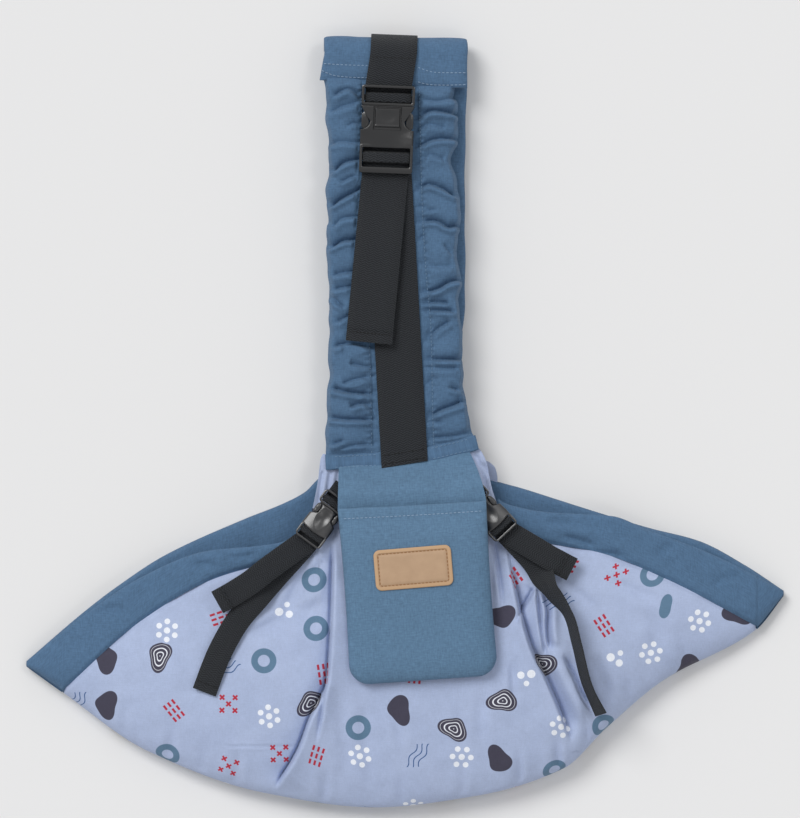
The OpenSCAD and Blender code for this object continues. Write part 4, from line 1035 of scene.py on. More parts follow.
def sleeve_surface():
    """The sleeve's upper face: a flat channel between the stitch rows and a puffed pillow on each side.

    Across a pillow the height follows a half superellipse; the folds are added to it, more shallow at the rows. Room
    is left under the free tail and on the way of the buckle's female half.
    """
    x, y, s = sleeve_grid()
    puffed = s > 0
    folds = sleeve_folds(x, y)
    x = x + 0.6 * np.clip(folds, -5, 2) * smooth_step(0.55, 1.0, s) * np.sign(x - curve(y, LEFT_ROW) - 20)
    pillow = np.where(puffed, np.clip(1 - np.abs(2 * s - 1) ** 2.4, 0, 1) ** 0.7, 0)
    hold = np.where(puffed, 0.5 + 0.5 * smooth_step(0.0, 0.2, s), 0)
    puckers = 0.7 * np.sin(y * 1.15 + np.sign(x) * 2 + 2 * np.sin(y / 9)) * bell(s - 0.06, 0.06) * puffed
    below_hem = y[:, -1:] - y
    calm = smooth_step(0, 10, below_hem)
    z = CHANNEL_Z - 0.2 + (6.0 * pillow + (folds * hold + puckers)) * (0.25 + 0.75 * calm)
    z = z - 9.0 * smooth_step(0.86, 1.0, s) ** 2
    d, share = along_path(x, y, TAIL_FOOT)
    room = TAIL_CLEAR_Z + TAIL_RISE * smooth_step(4 + RELEASE_RUN, 64 + RELEASE_RUN, TAIL_FOOT_L * share)
    z = z - smooth_step(22.5, 19.4, np.abs(d)) * puffed * np.maximum(0, z - room)
    aside, along, _z = np.moveaxis(spun(xyz(x - BIG_AT[0], y - BIG_AT[1], z), -BIG_TURN), -1, 0)
    way_end = FEMALE_L + RELEASE_RUN
    way = smooth_step(25.5, 22.6, np.abs(aside)) * smooth_step(way_end + 5, way_end + 1, -along)
    z = z - way * np.maximum(0, z - BIG_AT[2] + 0.5) * puffed
    beside = np.minimum(x - curve(y, LEFT_ROW), curve(y, RIGHT_ROW) - x)
    z = np.where(puffed, z, CHANNEL_Z - 0.2 + 0.75 * np.clip(folds, -4, 0.6) * smooth_step(8, 0, beside))
    z = z + (BAND_Z - z) * smooth_step(14, 4, y - curve(x, BAND)) - 2.6 * smooth_step(6, 0, below_hem)
    return x, y, z, np.where(s > 0.97, SLEEVE_Z + 2.5, SLEEVE_Z)


sx, sy, sz, under = sleeve_surface()
uv = np.stack([sx, 1.2 * sy], -1)
sleeve = panel("gathered_sleeve_cloth", "gathered_sleeve", sx, sy, sz, under, BLUE, uv)
ys = np.linspace(274, -26, 110)
for row, inset in ((LEFT_ROW, -0.8), (RIGHT_ROW, 0.8)):
    path = np.stack([curve(ys, row) + inset, ys], 1)
    nearest = [np.argmin((sx - x) ** 2 + (sy - y) ** 2) for x, y in path]
    stitch("thread_dim", raised(path, sz.ravel()[nearest]), length=2.0, gap=1.2)

# The flap's hem: two rows of stitches that dip to the right, beside the webbing
for line in (
    [(-67, 292.8), (-50, 291.8), (-29.5, 291.2)], [(10, 290), (20, 286.4), (30, 285.4), (50, 285.3)],
    [(-68.5, 287.6), (-60, 283.7), (-48, 281.8), (-29.5, 281.2)], [(10, 278), (20, 275.6), (34, 275.2), (50, 275.6)],
):
    stitch("thread", raised(bend(line), FOLD_Z + PAD_T - 0.15))

# Hem band at the neck


def band():
    """A flat folded band along a line: a rounded bar in section, a little puckered along its edges."""
    line = bend(BAND, 8)
    side = left_of(unit(np.gradient(line, axis=0)))
    a = np.arange(40) * math.tau / 40
    w, h = signed(np.cos(a), 0.3), signed(np.sin(a), 0.6)
    rings = []
    for k, p in enumerate(line):
        half = 6.2 + 0.3 * math.sin(k * 1.3)
        end = min(1, min(k, len(line) - 1 - k) / 2 + 0.5)
        z = BAND_Z + h * 1.7 * end + 0.25 * math.sin(k * 0.9) * (h > 0)
        rings.append(raised(p + np.outer(w * half, side[k]), z))
    flat = np.stack(np.broadcast_arrays(run_length(line)[:, None], np.arange(40) * 0.35), -1)
    return np.array(rings), line, side, flat.reshape(-1, 2)


rings, line, side, flat = band()
hem = add_mesh("neck_band_cloth", *tube(rings), BLUE, flat)
finish_piece(hem, "root", "blue_cloth", "neck_hem_band")
for offset in (-4.4, 4.2):
    row = line + side * offset
    for half in (row[2:][row[2:, 0] < -20], row[:-2][row[:-2, 0] > 20]):
        stitch("thread_dim", raised(half, BAND_Z + 1.75))


# Webbing


def arc(c, r, a0, a1, n=8):
    a = np.radians(np.linspace(a0, a1, n + 1))
    return np.stack([c[0] + r * np.cos(a), c[1] + r * np.sin(a)], 1)


WEB_W, WEB_T, SIDE_W, SIDE_T = 38.0, 1.4, 20.0, 1.2


def strap(name, body, node, centres, across, normals, width, thick):
    """Webbing along centres: a flat bar with rounded edges, set by the unit vectors across it and off its face."""
    half, t, r = width / 2, thick / 2, 0.25
    section = np.array([
        (-half, r - t), (-half, t - r), (r - half, t), (half * -0.5, t), (0, t), (half * 0.5, t), (half - r, t),
        (half, t - r), (half, r - t), (half - r, -t), (0, -t), (r - half, -t),
    ])
    rings = centres[:, None] + section[:, :1] * across[:, None] + section[:, 1:] * normals[:, None]
    flat = np.stack(np.broadcast_arrays(section[:, 0], run_length(centres)[:, None]), -1)
    obj = add_mesh(name, *tube(rings), WEB, flat.reshape(-1, 2), crease=60)
    return finish_piece(obj, body, "webbing", node)


def bent_strap(name, body, node, path, width, thick, seat, flip=1, drift=0.0):
    """Webbing bent in a buckle's own Y-Z plane, along points [y, z], drifting sideways past the frame."""
    y, z = np.asarray(path, float).T
    centres = xyz(drift * np.where(z > -4, smooth_step(18, 46, y), 1), flip * y, z)
    across = np.tile([1.0, 0, 0], (len(y), 1))
    normals = np.cross(across, unit(np.gradient(centres, axis=0)))
    return strap(name, body, node, place(centres, seat), spun(across, seat[1]), spun(normals, seat[1]), width, thick)


def cross_row(x0, x1, count, y, z):
    """A row of points across a strap, in its own frame."""
    return raised(np.column_stack([np.linspace(x0, x1, count), np.full(count, y)]), z)


BAR_Z, BAR_H, BEND_R, SLOT_GAP, REST = 1.0, 2.6, 1.6, 0.4, 0.3
BIG = {
    "slot": 5.4, "bar": 5.0, "outer": 5.4, "rim": 5.0, "t": WEB_T, "body": 34.0, "w": 43.6, "open": 38.8, "th": 9.0,
    "round": 2.4, "sill": 0.0,
}
BIG_MALE = {**BIG, "slot": 2.8, "bar": 4.6, "outer": 5.4, "rim": 2.4, "sill": 0.8}
SMALL = {
    "slot": 2.2, "bar": 2.8, "outer": 4.2, "rim": 1.8, "t": SIDE_T, "body": 19.0, "w": 24.8, "open": 20.8, "th": 6.2,
    "round": 3.6, "sill": 0.4,
}
BIG_BASE, SMALL_BASE, SMALL_MOUTH = 1.7, 4.5, 2.8
for sizes in (BIG, BIG_MALE, SMALL):
    sizes["loop"] = sizes["slot"] + sizes["bar"] + sizes["outer"] + sizes["rim"]


def over_bar(b):
    """Up the slot next to the body, over the bar, down the outer slot and out under the rim, as [y, z]."""
    top = BAR_Z + BAR_H + REST + b["t"] / 2
    off = b["t"] / 2 + 0.4
    y1, y2, r = b["slot"] - off, b["slot"] + b["bar"] + off, 1.3
    upper = -SLOT_GAP - b["t"] / 2
    return np.concatenate([
        arc((y1 + r, top - r), r, 180, 90), arc((y2 - r, top - r), r, 90, 0),
        arc((y2 + BEND_R, upper + BEND_R), BEND_R, 180, 270), [[b["loop"] + 1, upper]],
    ])


def loop_start(b, length):
    """The doubled end of a sewn loop, back under the frame and up to the bar."""
    lower = -SLOT_GAP - 1.5 * b["t"] - REST
    y = b["slot"] - b["t"] / 2 - 0.4 + BEND_R
    return np.concatenate([[[y + length, lower]], arc((y, lower + BEND_R), BEND_R, 270, 180)])


def sewn_loop(b, length, base):
    """Webbing looped round a male half's bar, with its doubled end sewn back under it."""
    return np.concatenate([loop_start(b, length), over_bar(b)]) + [base, 0]


def tail_loop(side, b, width, seat):
    """The start of a free tail, up through the adjuster on a female half and out under its rim."""
    path = np.concatenate([[[b["slot"] / 2, -SLOT_GAP - b["t"]]], over_bar(b)]) + [b["body"], 0]
    bent_strap(f"{side}_tail_loop", f"{side}_female", f"{side}_tail", path, width, b["t"], seat, -1)


fold_r = FOLD_Z + REST + WEB_W / 2 * math.sin(math.radians(abs(BIG_TURN))) + WEB_T / 2
wrap = arc((BEND_Y - BIG_AT[1], FOLD_Z - BIG_AT[2]), fold_r, 90, -30, 20)
path = np.concatenate([sewn_loop(BIG_MALE, 14, BIG_BASE), wrap])
bent_strap("top_webbing_strap", "root", "top_webbing", path, WEB_W, WEB_T, BIG_SEAT, drift=3.0)
for y in (297.5, 294.5):
    row = cross_row(-14.9, 20.1, 24, y - BIG_AT[1], FOLD_Z + fold_r + 0.75 - BIG_AT[2])
    stitch("thread_black", place(row, BIG_SEAT), **TACK)

big_end = place([0, 5 - BIG["body"], 0], BIG_SEAT)[:2]
LOWER_END, LOWER_Z = np.array([-0.3, -34.8]), 31.5
lower_run = LOWER_END - big_end
lower_l = float(np.linalg.norm(lower_run))
lower_dir = lower_run / lower_l
centres = raised(big_end + lower_run * np.linspace(0, 1, 60)[:, None], LOWER_Z + WEB_T / 2)
across = np.tile([*left_of(lower_dir), 0], (60, 1))
across[-1] = spun(across[-1], 6)
up = np.tile([0, 0, 1.0], (60, 1))
lower_web = strap("lower_webbing_strap", "root", "lower_webbing", centres, across, up, WEB_W, WEB_T)
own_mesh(lower_web)
for back in (3.0, 10.0):
    row = LOWER_END - lower_dir * back + across[-1, :2] * np.linspace(-17, 17, 20)[:, None]
    stitch("thread_black", raised(row, LOWER_Z + 1.5), **TACK)

tail_loop("shoulder", BIG, WEB_W, BIG_SEAT)
TAIL_TURN, TAIL_L, TAIL_HEM = -5.5, 141.0, 9.0
tail_at = place([0, -BIG["body"] - BIG["loop"] + BIG["rim"] / 2, -SLOT_GAP - WEB_T], BIG_SEAT)
TAIL_SEAT = tail_at, TAIL_TURN


def flat_strap(name, body, node, y0, y1, thick, rows):
    """A straight strap from y0 to y1 in the tail's frame, that rises over the first 64 mm from y = 0."""
    ys = np.linspace(y0, y1, rows)
    world = place(xyz(0 * ys, ys, thick / 2 + TAIL_RISE * smooth_step(-4, -64, ys)), TAIL_SEAT)
    across = np.tile(spun([1, 0, 0], TAIL_TURN), (rows, 1))
    return strap(name, body, node, world, across, np.tile([0, 0, 1.0], (rows, 1)), WEB_W, thick)


tail = flat_strap("shoulder_tail_strap", "shoulder_female", "shoulder_tail", 1, TAIL_HEM - TAIL_L, WEB_T, 50)
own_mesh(tail)
flat_strap("shoulder_tail_hem", "shoulder_tail_tip", "shoulder_tail_end", TAIL_HEM - TAIL_L, -TAIL_L, 2 * WEB_T, 4)
row = cross_row(-17.5, 17.5, 20, TAIL_HEM - TAIL_L - 1.5, 2 * WEB_T + TAIL_RISE + 0.05)
stitch("thread_black", place(row, TAIL_SEAT), "shoulder_tail_tip", **TACK)


def ground(x, y):
    """Height of the pouch with its folds at a place, the rail's height past its edge."""
    x, y = np.asarray(x, float), np.asarray(y, float)
    edge = curve(x, FRONT_EDGE)
    held = np.minimum(y, edge)
    return np.where(y < edge, front_base(x, held) + np.maximum(pouch_folds(x, held), 0) + 1.0, rail_z(x))


def ground_under(p, width):
    offsets = np.array([(i, j) for i in (-1, 0, 1) for j in (-1, 0, 1)]) * width * 0.45
    return np.max([ground(p[:, 0] + dx, p[:, 1] + dy) for dx, dy in offsets], 0)


def eased(heights, reach):
    """The running top of a line of heights over a reach of samples, smoothed by a raised cosine of the same reach."""
    wide = np.pad(heights, 2 * reach, "edge")
    top = np.max([wide[i:len(wide) - 2 * reach + i] for i in range(2 * reach + 1)], 0)
    kernel = np.hanning(2 * reach + 3)[1:-1]
    return np.convolve(top, kernel / kernel.sum(), "valid")


def laid_strap(name, body, node, path, lift, banks, thick):
    """Side webbing laid along a plan path with its lower face at a height, banked about its own run."""
    side = left_of(unit(np.gradient(path, axis=0)))
    b = np.radians(np.broadcast_to(banks, len(path)))
    across = np.column_stack([side * np.cos(b)[:, None], np.sin(b)])
    normals = np.column_stack([-side * np.sin(b)[:, None], np.cos(b)])
    base = raised(path, lift + np.abs(np.sin(b)) * SIDE_W / 2)
    return strap(name, body, node, base + normals * thick / 2, across, normals, SIDE_W, thick)


# Each side: its buckle's seat, the sewn webbing's way, the tail's way, the twist, the tail's pull and its clearance
SIDES = {
    "left": (
        LEFT_SEAT, [(-105.5, -126), (-121.5, -144.5), (-137, -163), (-151.5, -189), (-163.5, -220)],
        [(-111, -119), (-125, -130), (-138.5, -138.7), (-147, -143.6)], 0.0, (-39, -25), 10.0,
    ),
    "right": (
        RIGHT_SEAT, [(105, -114), (117, -134), (133, -156), (140, -180), (148, -212), (160, -238)],
        [(107, -104), (117.7, -110.4), (124, -113.8), (129.5, -116.7)], 70.0, (27, -14), 7.8,
    ),
}
SPAN, EASE, SIDE_HEM = 12, 7, 9


def side_webbing(side, seat, way, twist):
    """Sewn webbing from the adjuster over the pouch, twisted on to its edge and drawn tight over the folds."""
    start, over = (place([0, y - SMALL["body"], 0], seat)[:2] for y in (4, -SMALL["loop"] - 3))
    path = bend([start, over, *way], SPAN)
    k = np.arange(len(path)) / SPAN
    last = k[-1]
    banks = twist * (0.75 * smooth_step(2.3, 3.2, k) + 0.25 * smooth_step(3.2, 4, k))
    banks = banks * (1 - 0.08 * smooth_step(last - 0.8, last, k))
    layer = seat[0][2] - SLOT_GAP - 2 * SIDE_T - REST
    flat_rest, edge_rest = ground_under(path, SIDE_W), ground_under(path, SIDE_W / 3)
    lift = flat_rest + (edge_rest - flat_rest) * np.sin(np.radians(banks)) + 2 * REST
    lift = layer + (lift - layer) * smooth_step(1, 2, k)
    lift = lift + (eased(lift, EASE) - lift) * smooth_step(2.2, 3.0, k) * smooth_step(last, last - 1.4, k)
    web = laid_strap(f"{side}_webbing_strap", "root", f"{side}_webbing", path, lift, banks, SIDE_T)
    if not twist:
        ahead = unit(path[-1] - path[-3])
        row = path[-1] - ahead * 7 + left_of(ahead) * np.linspace(-9, 9, 12)[:, None]
        stitch("thread_black", raised(row, lift[-4] + SIDE_T + 0.1), **SMALL_TACK)
    axis = spun([0, 1, 0], seat[1])[:2]
    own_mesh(web)


def side_tail(side, seat, way, pull_line, clear):
    """A free tail from its loop in the adjuster, held off the pouch, with its folded end."""
    tail_loop(side, SMALL, SIDE_W, seat)
    first = place([0, -SMALL["body"] - SMALL["loop"] + 1, 0], seat)[:2]
    path = bend([first, *way], SPAN)
    k = np.arange(len(path)) / SPAN
    foot = seat[0][2] - SLOT_GAP - SIDE_T
    lift = foot - 0.05 + (ground_under(path, SIDE_W) + clear - foot) * smooth_step(0.25, 1, k)
    lift = lift + (eased(lift, EASE) - lift) * smooth_step(1.0, 2.0, k)
    path, lift = path[:-4], lift[:-4]
    tail = laid_strap(f"{side}_tail_strap", f"{side}_female", f"{side}_tail", path, lift, 0.0, SIDE_T)
    run = unit(path[-1] - path[-2])
    line = np.array(pull_line) / np.hypot(*pull_line)
    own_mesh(tail)
    ends = path[-1] + run * np.linspace(0, SIDE_HEM, 4)[:, None]
    laid_strap(f"{side}_tail_hem", f"{side}_tail_tip", f"{side}_tail_end", ends, lift[-1], 0.0, 2 * SIDE_T)
    row = ends[0] + run * 1.6 + left_of(run) * np.linspace(-9, 9, 12)[:, None]
    stitch("thread_black", raised(row, lift[-1] + 2 * SIDE_T + 0.05), f"{side}_tail_tip", **SMALL_TACK)


def side_anchor(side, seat):
    """Webbing looped round the male half's bar, and down to the pouch under the pocket."""
    out_y = SMALL_BASE + SMALL["loop"]
    end = place([0, out_y + 9, 0], seat)
    low = float(ground(end[0], end[1])) + 1.2 + SIDE_T - seat[0][2]
    path = sewn_loop(SMALL, 6, SMALL_BASE)
    down = [[out_y + 3, path[-1, 1] * 0.5 + low * 0.5], [out_y + 5, low], [out_y + 9, low]]
    path = np.concatenate([path, down])
    bent_strap(f"{side}_anchor_strap", "root", f"{side}_anchor_webbing", path, SIDE_W, SIDE_T, seat)


for side, (seat, way, tail_way, twist, pull_line, clear) in SIDES.items():
    side_webbing(side, seat, way, twist)
    side_tail(side, seat, tail_way, pull_line, clear)
    side_anchor(side, seat)


# Pocket and label

POCKET_AT, POCKET_TILT, POCKET_TURN = (10.6, -139.0, 49.8), -1.2, 4.0
POCKET_W, POCKET_L, POCKET_R, POCKET_T, POCKET_ROOM = 119.0, 142.0, 17.0, 2.5, 9.0


def on_pocket(points):
    """Points of the pocket's own frame, tilted and turned onto the pouch's crown."""
    x, y, z = np.moveaxis(np.asarray(points, float), -1, 0)
    c, s = math.cos(math.radians(POCKET_TILT)), math.sin(math.radians(POCKET_TILT))
    return place(xyz(x, y * c - z * s, y * s + z * c), (POCKET_AT, POCKET_TURN))


def pocket_grid(top_y, nv=110):
    """A plan grid with round lower corners: each row's half width follows the corner's circle."""
    nu, low, r = 90, -POCKET_L / 2, POCKET_R
    y = low + (top_y - low) * np.linspace(0, 1, nv) ** 1.25
    inset = np.where(y < low + r, r - np.sqrt(np.clip(r**2 - (low + r - y) ** 2, 0, None)), 0)
    width = POCKET_W / 2 - inset - 1.2 * np.sin(np.pi * np.clip((y - low) / POCKET_L, 0, 1)) + 1.0
    u = crowded(np.linspace(-1, 1, nu), 1.5)[:, None]
    return u * width, np.repeat(y[None, :], nu, 0), np.repeat(u, nv, 1)


def pocket_top(x, y, u):
    """The front panel over its room: a superellipse across, a quarter superellipse up from the bottom."""
    across = np.clip(1 - np.abs(u) ** 7, 0, 1) ** 0.45
    up = np.clip(1 - np.clip(1 - (y + POCKET_L / 2) / 26, 0, 1) ** 2.6, 0, 1) ** 0.5
    full = np.minimum(across, up)
    slack = 0.35 * waves(x, y, 5, 40, 80, 51) * full - 6.0 * smooth_step(42, 74, y) * across
    under_label = np.exp(-((x / 36) ** 4 + ((y - 21.5) / 20) ** 4))
    room = (POCKET_ROOM + POCKET_T - 0.4) * full ** 0.8 * across**0.2
    return POCKET_T + 0.4 + room + slack * (1 - under_label)


def pocket_cloth(node, upper, lower):
    uv = np.stack([qx, qy], -1)
    # The pocket's pieces take the lighter copy of the blue canvas, its colour painted light
    return cloth_shell(f"{node}_cloth", node, on_pocket(upper), on_pocket(lower), uv, POCKET_LIT_BLUE)


MOUTH_Y, CLOTH_T, MOUTH_HEM = POCKET_L / 2, 2.0, 8.4
qx, qy, qu = pocket_grid(MOUTH_Y)
qz = pocket_top(qx, qy, qu)
fold = 0.9 * smooth_step(MOUTH_Y - 9.5, MOUTH_Y - 8.2, qy) - 0.5 * bell(qy - MOUTH_Y + MOUTH_HEM, 0.9)
thin = (CLOTH_T - CLOTH_T * np.maximum(rounded_edge(MOUTH_Y - qy, 1.6), 0.15)) / 2
upper = xyz(qx, qy, qz + fold - thin)
inner = np.maximum(POCKET_T + 0.1, qz - CLOTH_T - fold * 0.3 + thin)
lower = xyz(qx * 0.985, np.maximum(qy, 1.2 - MOUTH_Y), np.minimum(inner, upper[..., 2] - 0.12))
lift_left = 1.9 * ((1 - qu) / 2) ** 2 * smooth_step(38, 70, qy)
upper[..., 1] += lift_left
lower[..., 1] += lift_left
pocket = pocket_cloth("pocket_front", upper, lower)
line = upper[:, np.argmin(np.abs(qy[0] - (MOUTH_Y - MOUTH_HEM)))]
stitch("thread", on_pocket(line[np.abs(line[:, 0]) < 57]), high=0.55)

FLAP, FLAP_LEVEL, FLAP_FALL, FLAP_DROP = 41.0, 18.0, 20.0, 19.2
qx, qy, qu = pocket_grid(MOUTH_Y + FLAP, nv=140)
past = np.clip((qy - MOUTH_Y) / FLAP, 0, 1)
droop = past * (1 - past) * 4
qy = qy - past * (2.5 - 2.5 * qu)
qx = qx - past * np.where(qu > 0, 10.5, 3.0) * qu - droop * np.where(qu > 0, -1.6, 0.0) * qu
fall = FLAP_DROP * smooth_step(0, 1, (qy - MOUTH_Y - FLAP_LEVEL * 0.6) / (FLAP_FALL + FLAP_LEVEL * 0.4))
dents = 3.4 * np.exp(-(((qx - 30) / 11) ** 2 + ((qy - 88) / 8) ** 2))
dents = dents + 1.2 * np.exp(-(((qx + 20) / 22) ** 2 + ((qy - 90) / 8) ** 2))
top = POCKET_T - fall + (0.5 * waves(qx, qy, 5, 25, 60, 61) * droop - dents) * (past > 0)
under = top - CLOTH_T * np.maximum(rounded_edge(np.minimum((1 - np.abs(qu)) * 59, 1.6), 1.6), 0.2)
pocket_back = pocket_cloth("pocket_back", xyz(qx, qy, top), xyz(qx, qy, under))

LABEL_W, LABEL_H, LABEL_R, LABEL_T = 63.0, 33.0, 5.0, 1.8
LABEL_SEAT = (-2.4, 20.9, 2 * POCKET_T + POCKET_ROOM + 0.05), 0.7


def rounded_rectangle(w, l, r, n=8):
    """Points round a rectangle with round corners, from its lower right corner, anticlockwise."""
    r = max(r, 1e-3)
    a = np.concatenate([np.linspace(k * np.pi / 2 - np.pi / 2, k * np.pi / 2, n + 1) for k in range(4)])
    cx = np.repeat([1, 1, -1, -1], n + 1) * (w / 2 - r)
    cy = np.repeat([-1, 1, 1, -1], n + 1) * (l / 2 - r)
    return np.stack([cx + r * np.cos(a), cy + r * np.sin(a)], 1)


def label():
    """A leather patch: round-edged, with a pressed groove 3.6 mm inside its border."""
    steps = [
        (0.4, 0.0), (0.0, 0.5), (0.0, 1.2), (0.35, 1.65), (1.0, LABEL_T), (2.7, LABEL_T), (3.1, 1.35), (3.6, 1.15),
        (4.1, 1.35), (4.6, LABEL_T - 0.1), (7.0, LABEL_T - 0.1), (15.0, LABEL_T - 0.1),
    ]
    rings = [
        raised(rounded_rectangle(LABEL_W - 2 * inset, LABEL_H - 2 * inset, max(LABEL_R - inset, 0.6)), z)
        for inset, z in steps
    ]
    rim = np.repeat([1.0 if inset < 3 else 0.0 for inset, _z in steps], len(rings[0]))
    return place(np.array(rings), LABEL_SEAT), rim


rings, rim = label()
patch = add_mesh("label_leather", *tube(on_pocket(rings)), LEATHER, crease=40, rim=rim)
finish_piece(patch, "root", "leather", "label_patch")
groove = np.concatenate([rings[7], rings[7][:1]]) + [0, 0, 0.15]
stitch("thread_tan", on_pocket(groove), length=2.1, gap=0.9, wide=0.7, high=0.45, sink=0.0)


# Buckles


def bevelled(z0, z1, b):
    """Steps up a plate's edge as (inset, z), its two corners broken by a bevel."""
    k = b * 0.3
    return [(b, z0), (k, z0 + k), (0, z0 + b), (0, z1 - b), (k, z1 - k), (b, z1)]


def outline(size, grow, z, n):
    """A rounded rectangle (width, y0, y1, corner), grown by a length, at a height."""
    w, y0, y1, r = size
    plan = rounded_rectangle(w + 2 * grow, y1 - y0 + 2 * grow, max(r + grow, 0.05), n)
    return raised(plan + [0, (y0 + y1) / 2], z)


def ring_frame(outer, inner, z0, z1, bevel):
    """A plate with a hole, both given as (width, y0, y1, corner), its edges broken by a bevel."""
    steps = bevelled(z0, z1, bevel)
    rings = [outline(outer, -g, z, 6) for g, z in steps[::-1]] + [outline(inner, g, z, 6) for g, z in steps]
    k, m = len(rings), len(rings[0])
    i, j = np.meshgrid(np.arange(k), np.arange(m), indexing="ij")
    a, c = (i * m + j).ravel(), (i * m + (j + 1) % m).ravel()
    d, e = (((i + 1) % k) * m + (j + 1) % m).ravel(), (((i + 1) % k) * m + j).ravel()
    return np.concatenate(rings), [np.stack([a, e, d, c], 1)]


def block(w, y0, y1, z0, z1, r=0.5, bevel=0.4):
    """A solid plate with round corners and broken edges."""
    return tube(np.array([outline((w, y0, y1, r), -g, z, 4) for g, z in bevelled(z0, z1, bevel)]))


def plate(half_at, y0, y1, top, thick, nu, nv, wall=None, bulge=0.0):
    """A plate under a height function, its half width varying along y; its top rolls over at the sides and ends.

    The end at y0 bulges by a parabola. Past the y and share given as wall, its underside drops to a side wall.
    """
    y = np.linspace(y0, y1, nv)
    u = crowded(np.linspace(-1, 1, nu), 1.6)[:, None]
    half = half_at(y)
    x, yy = u * half, np.repeat(y[None, :], nu, 0)
    edge = np.minimum((1 - np.abs(u)) * half, np.minimum(yy - y0, y1 - yy) + 0.15)
    hi = top(x, yy) - 0.65 * min(thick, 1.6) * (1 - rounded_edge(edge, 1.5))
    lo = top(x, yy) - thick
    if wall:
        lo = np.where((np.abs(u) > wall[1]) & (yy < wall[0]) | (yy < y0 + 1.2), wall[2], lo)
    yy = yy - bulge * (1 - u**2) * smooth_step(y0 + 8, y0, yy)
    return shell(xyz(x, yy, hi), xyz(x, yy, lo))


def base_plate(half_at, y0, y1, thick, nv):
    """A level plate on the buckle's own floor."""
    return plate(half_at, y0, y1, lambda x, y: np.full(x.shape, thick), thick, 30, nv)


def make_buckle(name, parts, mat, seat, body, node):
    points, faces = join(parts)
    return finish_piece(add_mesh(name, place(points, seat), faces, mat, crease=38), body, "buckle", node)


def adjuster(b, y, sign, depth):
    """The frame, bar and slots past a body's end at y, growing along sign; depth is where the frame starts."""
    hole = sorted((y + sign * (b["sill"] + 0.02), y + sign * (b["loop"] - b["rim"])))
    outer = sorted((y - sign * depth, y + sign * b["loop"]))
    frame_part = ring_frame((b["w"], *outer, b["round"]), (b["open"], *hole, 0.9), 0.0, b["th"] * 0.92, 0.7)
    bar_y = sorted((y + sign * b["slot"], y + sign * (b["slot"] + b["bar"])))
    return [frame_part, block(b["open"] + 0.6, *bar_y, BAR_Z, BAR_Z + BAR_H, 0.3, 0.5)]


def big_half(y):
    """Half width of the shoulder buckle's female body: full at both ends, scalloped at the thumb pads."""
    t = -y
    slant = np.clip(t / 12.4, 0, 1) ** 1.15
    back = np.sqrt(np.clip(1 - (np.clip(t - 12.4, 0, None) / 7.2) ** 2, 0, 1))
    return 21.8 - 7.6 * np.where(t < 12.4, slant, back)


def big_top(x, y):
    """The female's top face: level by the button, crowned and falling towards the adjuster, with a button well."""
    fall = 2.0 * smooth_step(19, 37, -y)
    well = (np.abs(x) < 11.2) & (y < -1.0) & (y > -19.6)
    crown = (0.25 + 2.4 * smooth_step(14, 26, -y)) * (x / 21.8) ** 2
    return 9.0 - fall - 0.9 * well - crown


parts = [
    plate(big_half, -BIG["body"], 0.0, big_top, 1.5, 90, 130, (-20.5, 0.9, 0.4)),
    base_plate(big_half, -BIG["body"], 0.0, 1.5, 60), *adjuster({**BIG, "th": 7.0}, -BIG["body"], -1, 3.0),
]
make_buckle("shoulder_female_shell", parts, MATT, BIG_SEAT, "shoulder_female", "shoulder_buckle_female")
parts = [block(9.7, -15.3, 1.0, 1.9, 3.8, 0.6), *adjuster(BIG_MALE, BIG_BASE, 1, BIG_BASE - 0.1)]
make_buckle("shoulder_male_frame", parts, MATT, BIG_SEAT, "root", "shoulder_buckle_male")


def arm(inner_x, outer_x, pad_x, near, far, z0, z1, sign):
    """A sprung arm: a slim bar from the pivot that widens into a thumb pad, as a bevelled outline."""
    plan = np.array([
        (inner_x, 2.6), (inner_x - 0.2, -2), (inner_x - 0.4, -far), (inner_x + 0.8, -far - 2.4),
        (outer_x - 0.8, -far - 2.2), (pad_x - 0.3, -far), (pad_x, -far + 1.4), (pad_x - 0.1, -near - 2.5),
        (outer_x, -near), (outer_x - 1.2, -1.0), (inner_x + 2.4, 0.6), (inner_x + 2.2, 2.6),
    ])
    smooth = bend(np.concatenate([plan, plan[:1]]), 4)[:-1]
    away = unit(smooth - smooth.mean(0))
    rings = np.array([
        raised((smooth - away * shrink) * [sign, 1], z)
        for shrink, z in ((0.5, z0), (0.12, z0 + 0.15), (0, z0 + 0.5), (0, z1 - 0.5), (0.12, z1 - 0.15), (0.5, z1))
    ])
    return tube(rings[:, ::-1] if sign > 0 else rings)


for sign, word in ((-1, "left"), (1, "right")):
    part, node = arm(15.6, 19.1, 21.1, 5.0, 17.5, 1.8, 6.6, sign), f"shoulder_arm_{word}"
    make_buckle(f"{node}_pad", [part], MATT, BIG_SEAT, f"shoulder_arm_{word[0]}", node)


def button():
    """The centre button: a square key with a thumb hollow and a raised lip at its lower edge."""
    u, v = np.meshgrid(np.linspace(-1, 1, 40), np.linspace(-1, 1, 40), indexing="ij")
    x, y = u * 10.2, -9.75 + v * 7.75
    edge = np.minimum(10.2 - np.abs(x), 7.75 - np.abs(y + 9.75))
    top = 9.3 + 0.3 * np.exp(-(((y + 16.6) / 0.8) ** 2)) - 0.35 * np.exp(-((x / 6) ** 2 + ((y + 9) / 4.4) ** 2) ** 2)
    top = 8.4 + (top - 8.4) * rounded_edge(edge, 0.9)
    return shell(xyz(x, y, top), xyz(x, y, 6.4))


make_buckle("shoulder_button_key", [button()], MATT, BIG_SEAT, "shoulder_push", "shoulder_button")


def small_half(y):
    """Half width of a side buckle's female body: slim by the thumb pads, a round shoulder, then full width."""
    t = -y
    return 6.5 + 5.6 * smooth_step(4.5, 9.0, t) + 0.3 * smooth_step(9, 16, t) + 0.9 * smooth_step(0.5, -2.8, t)


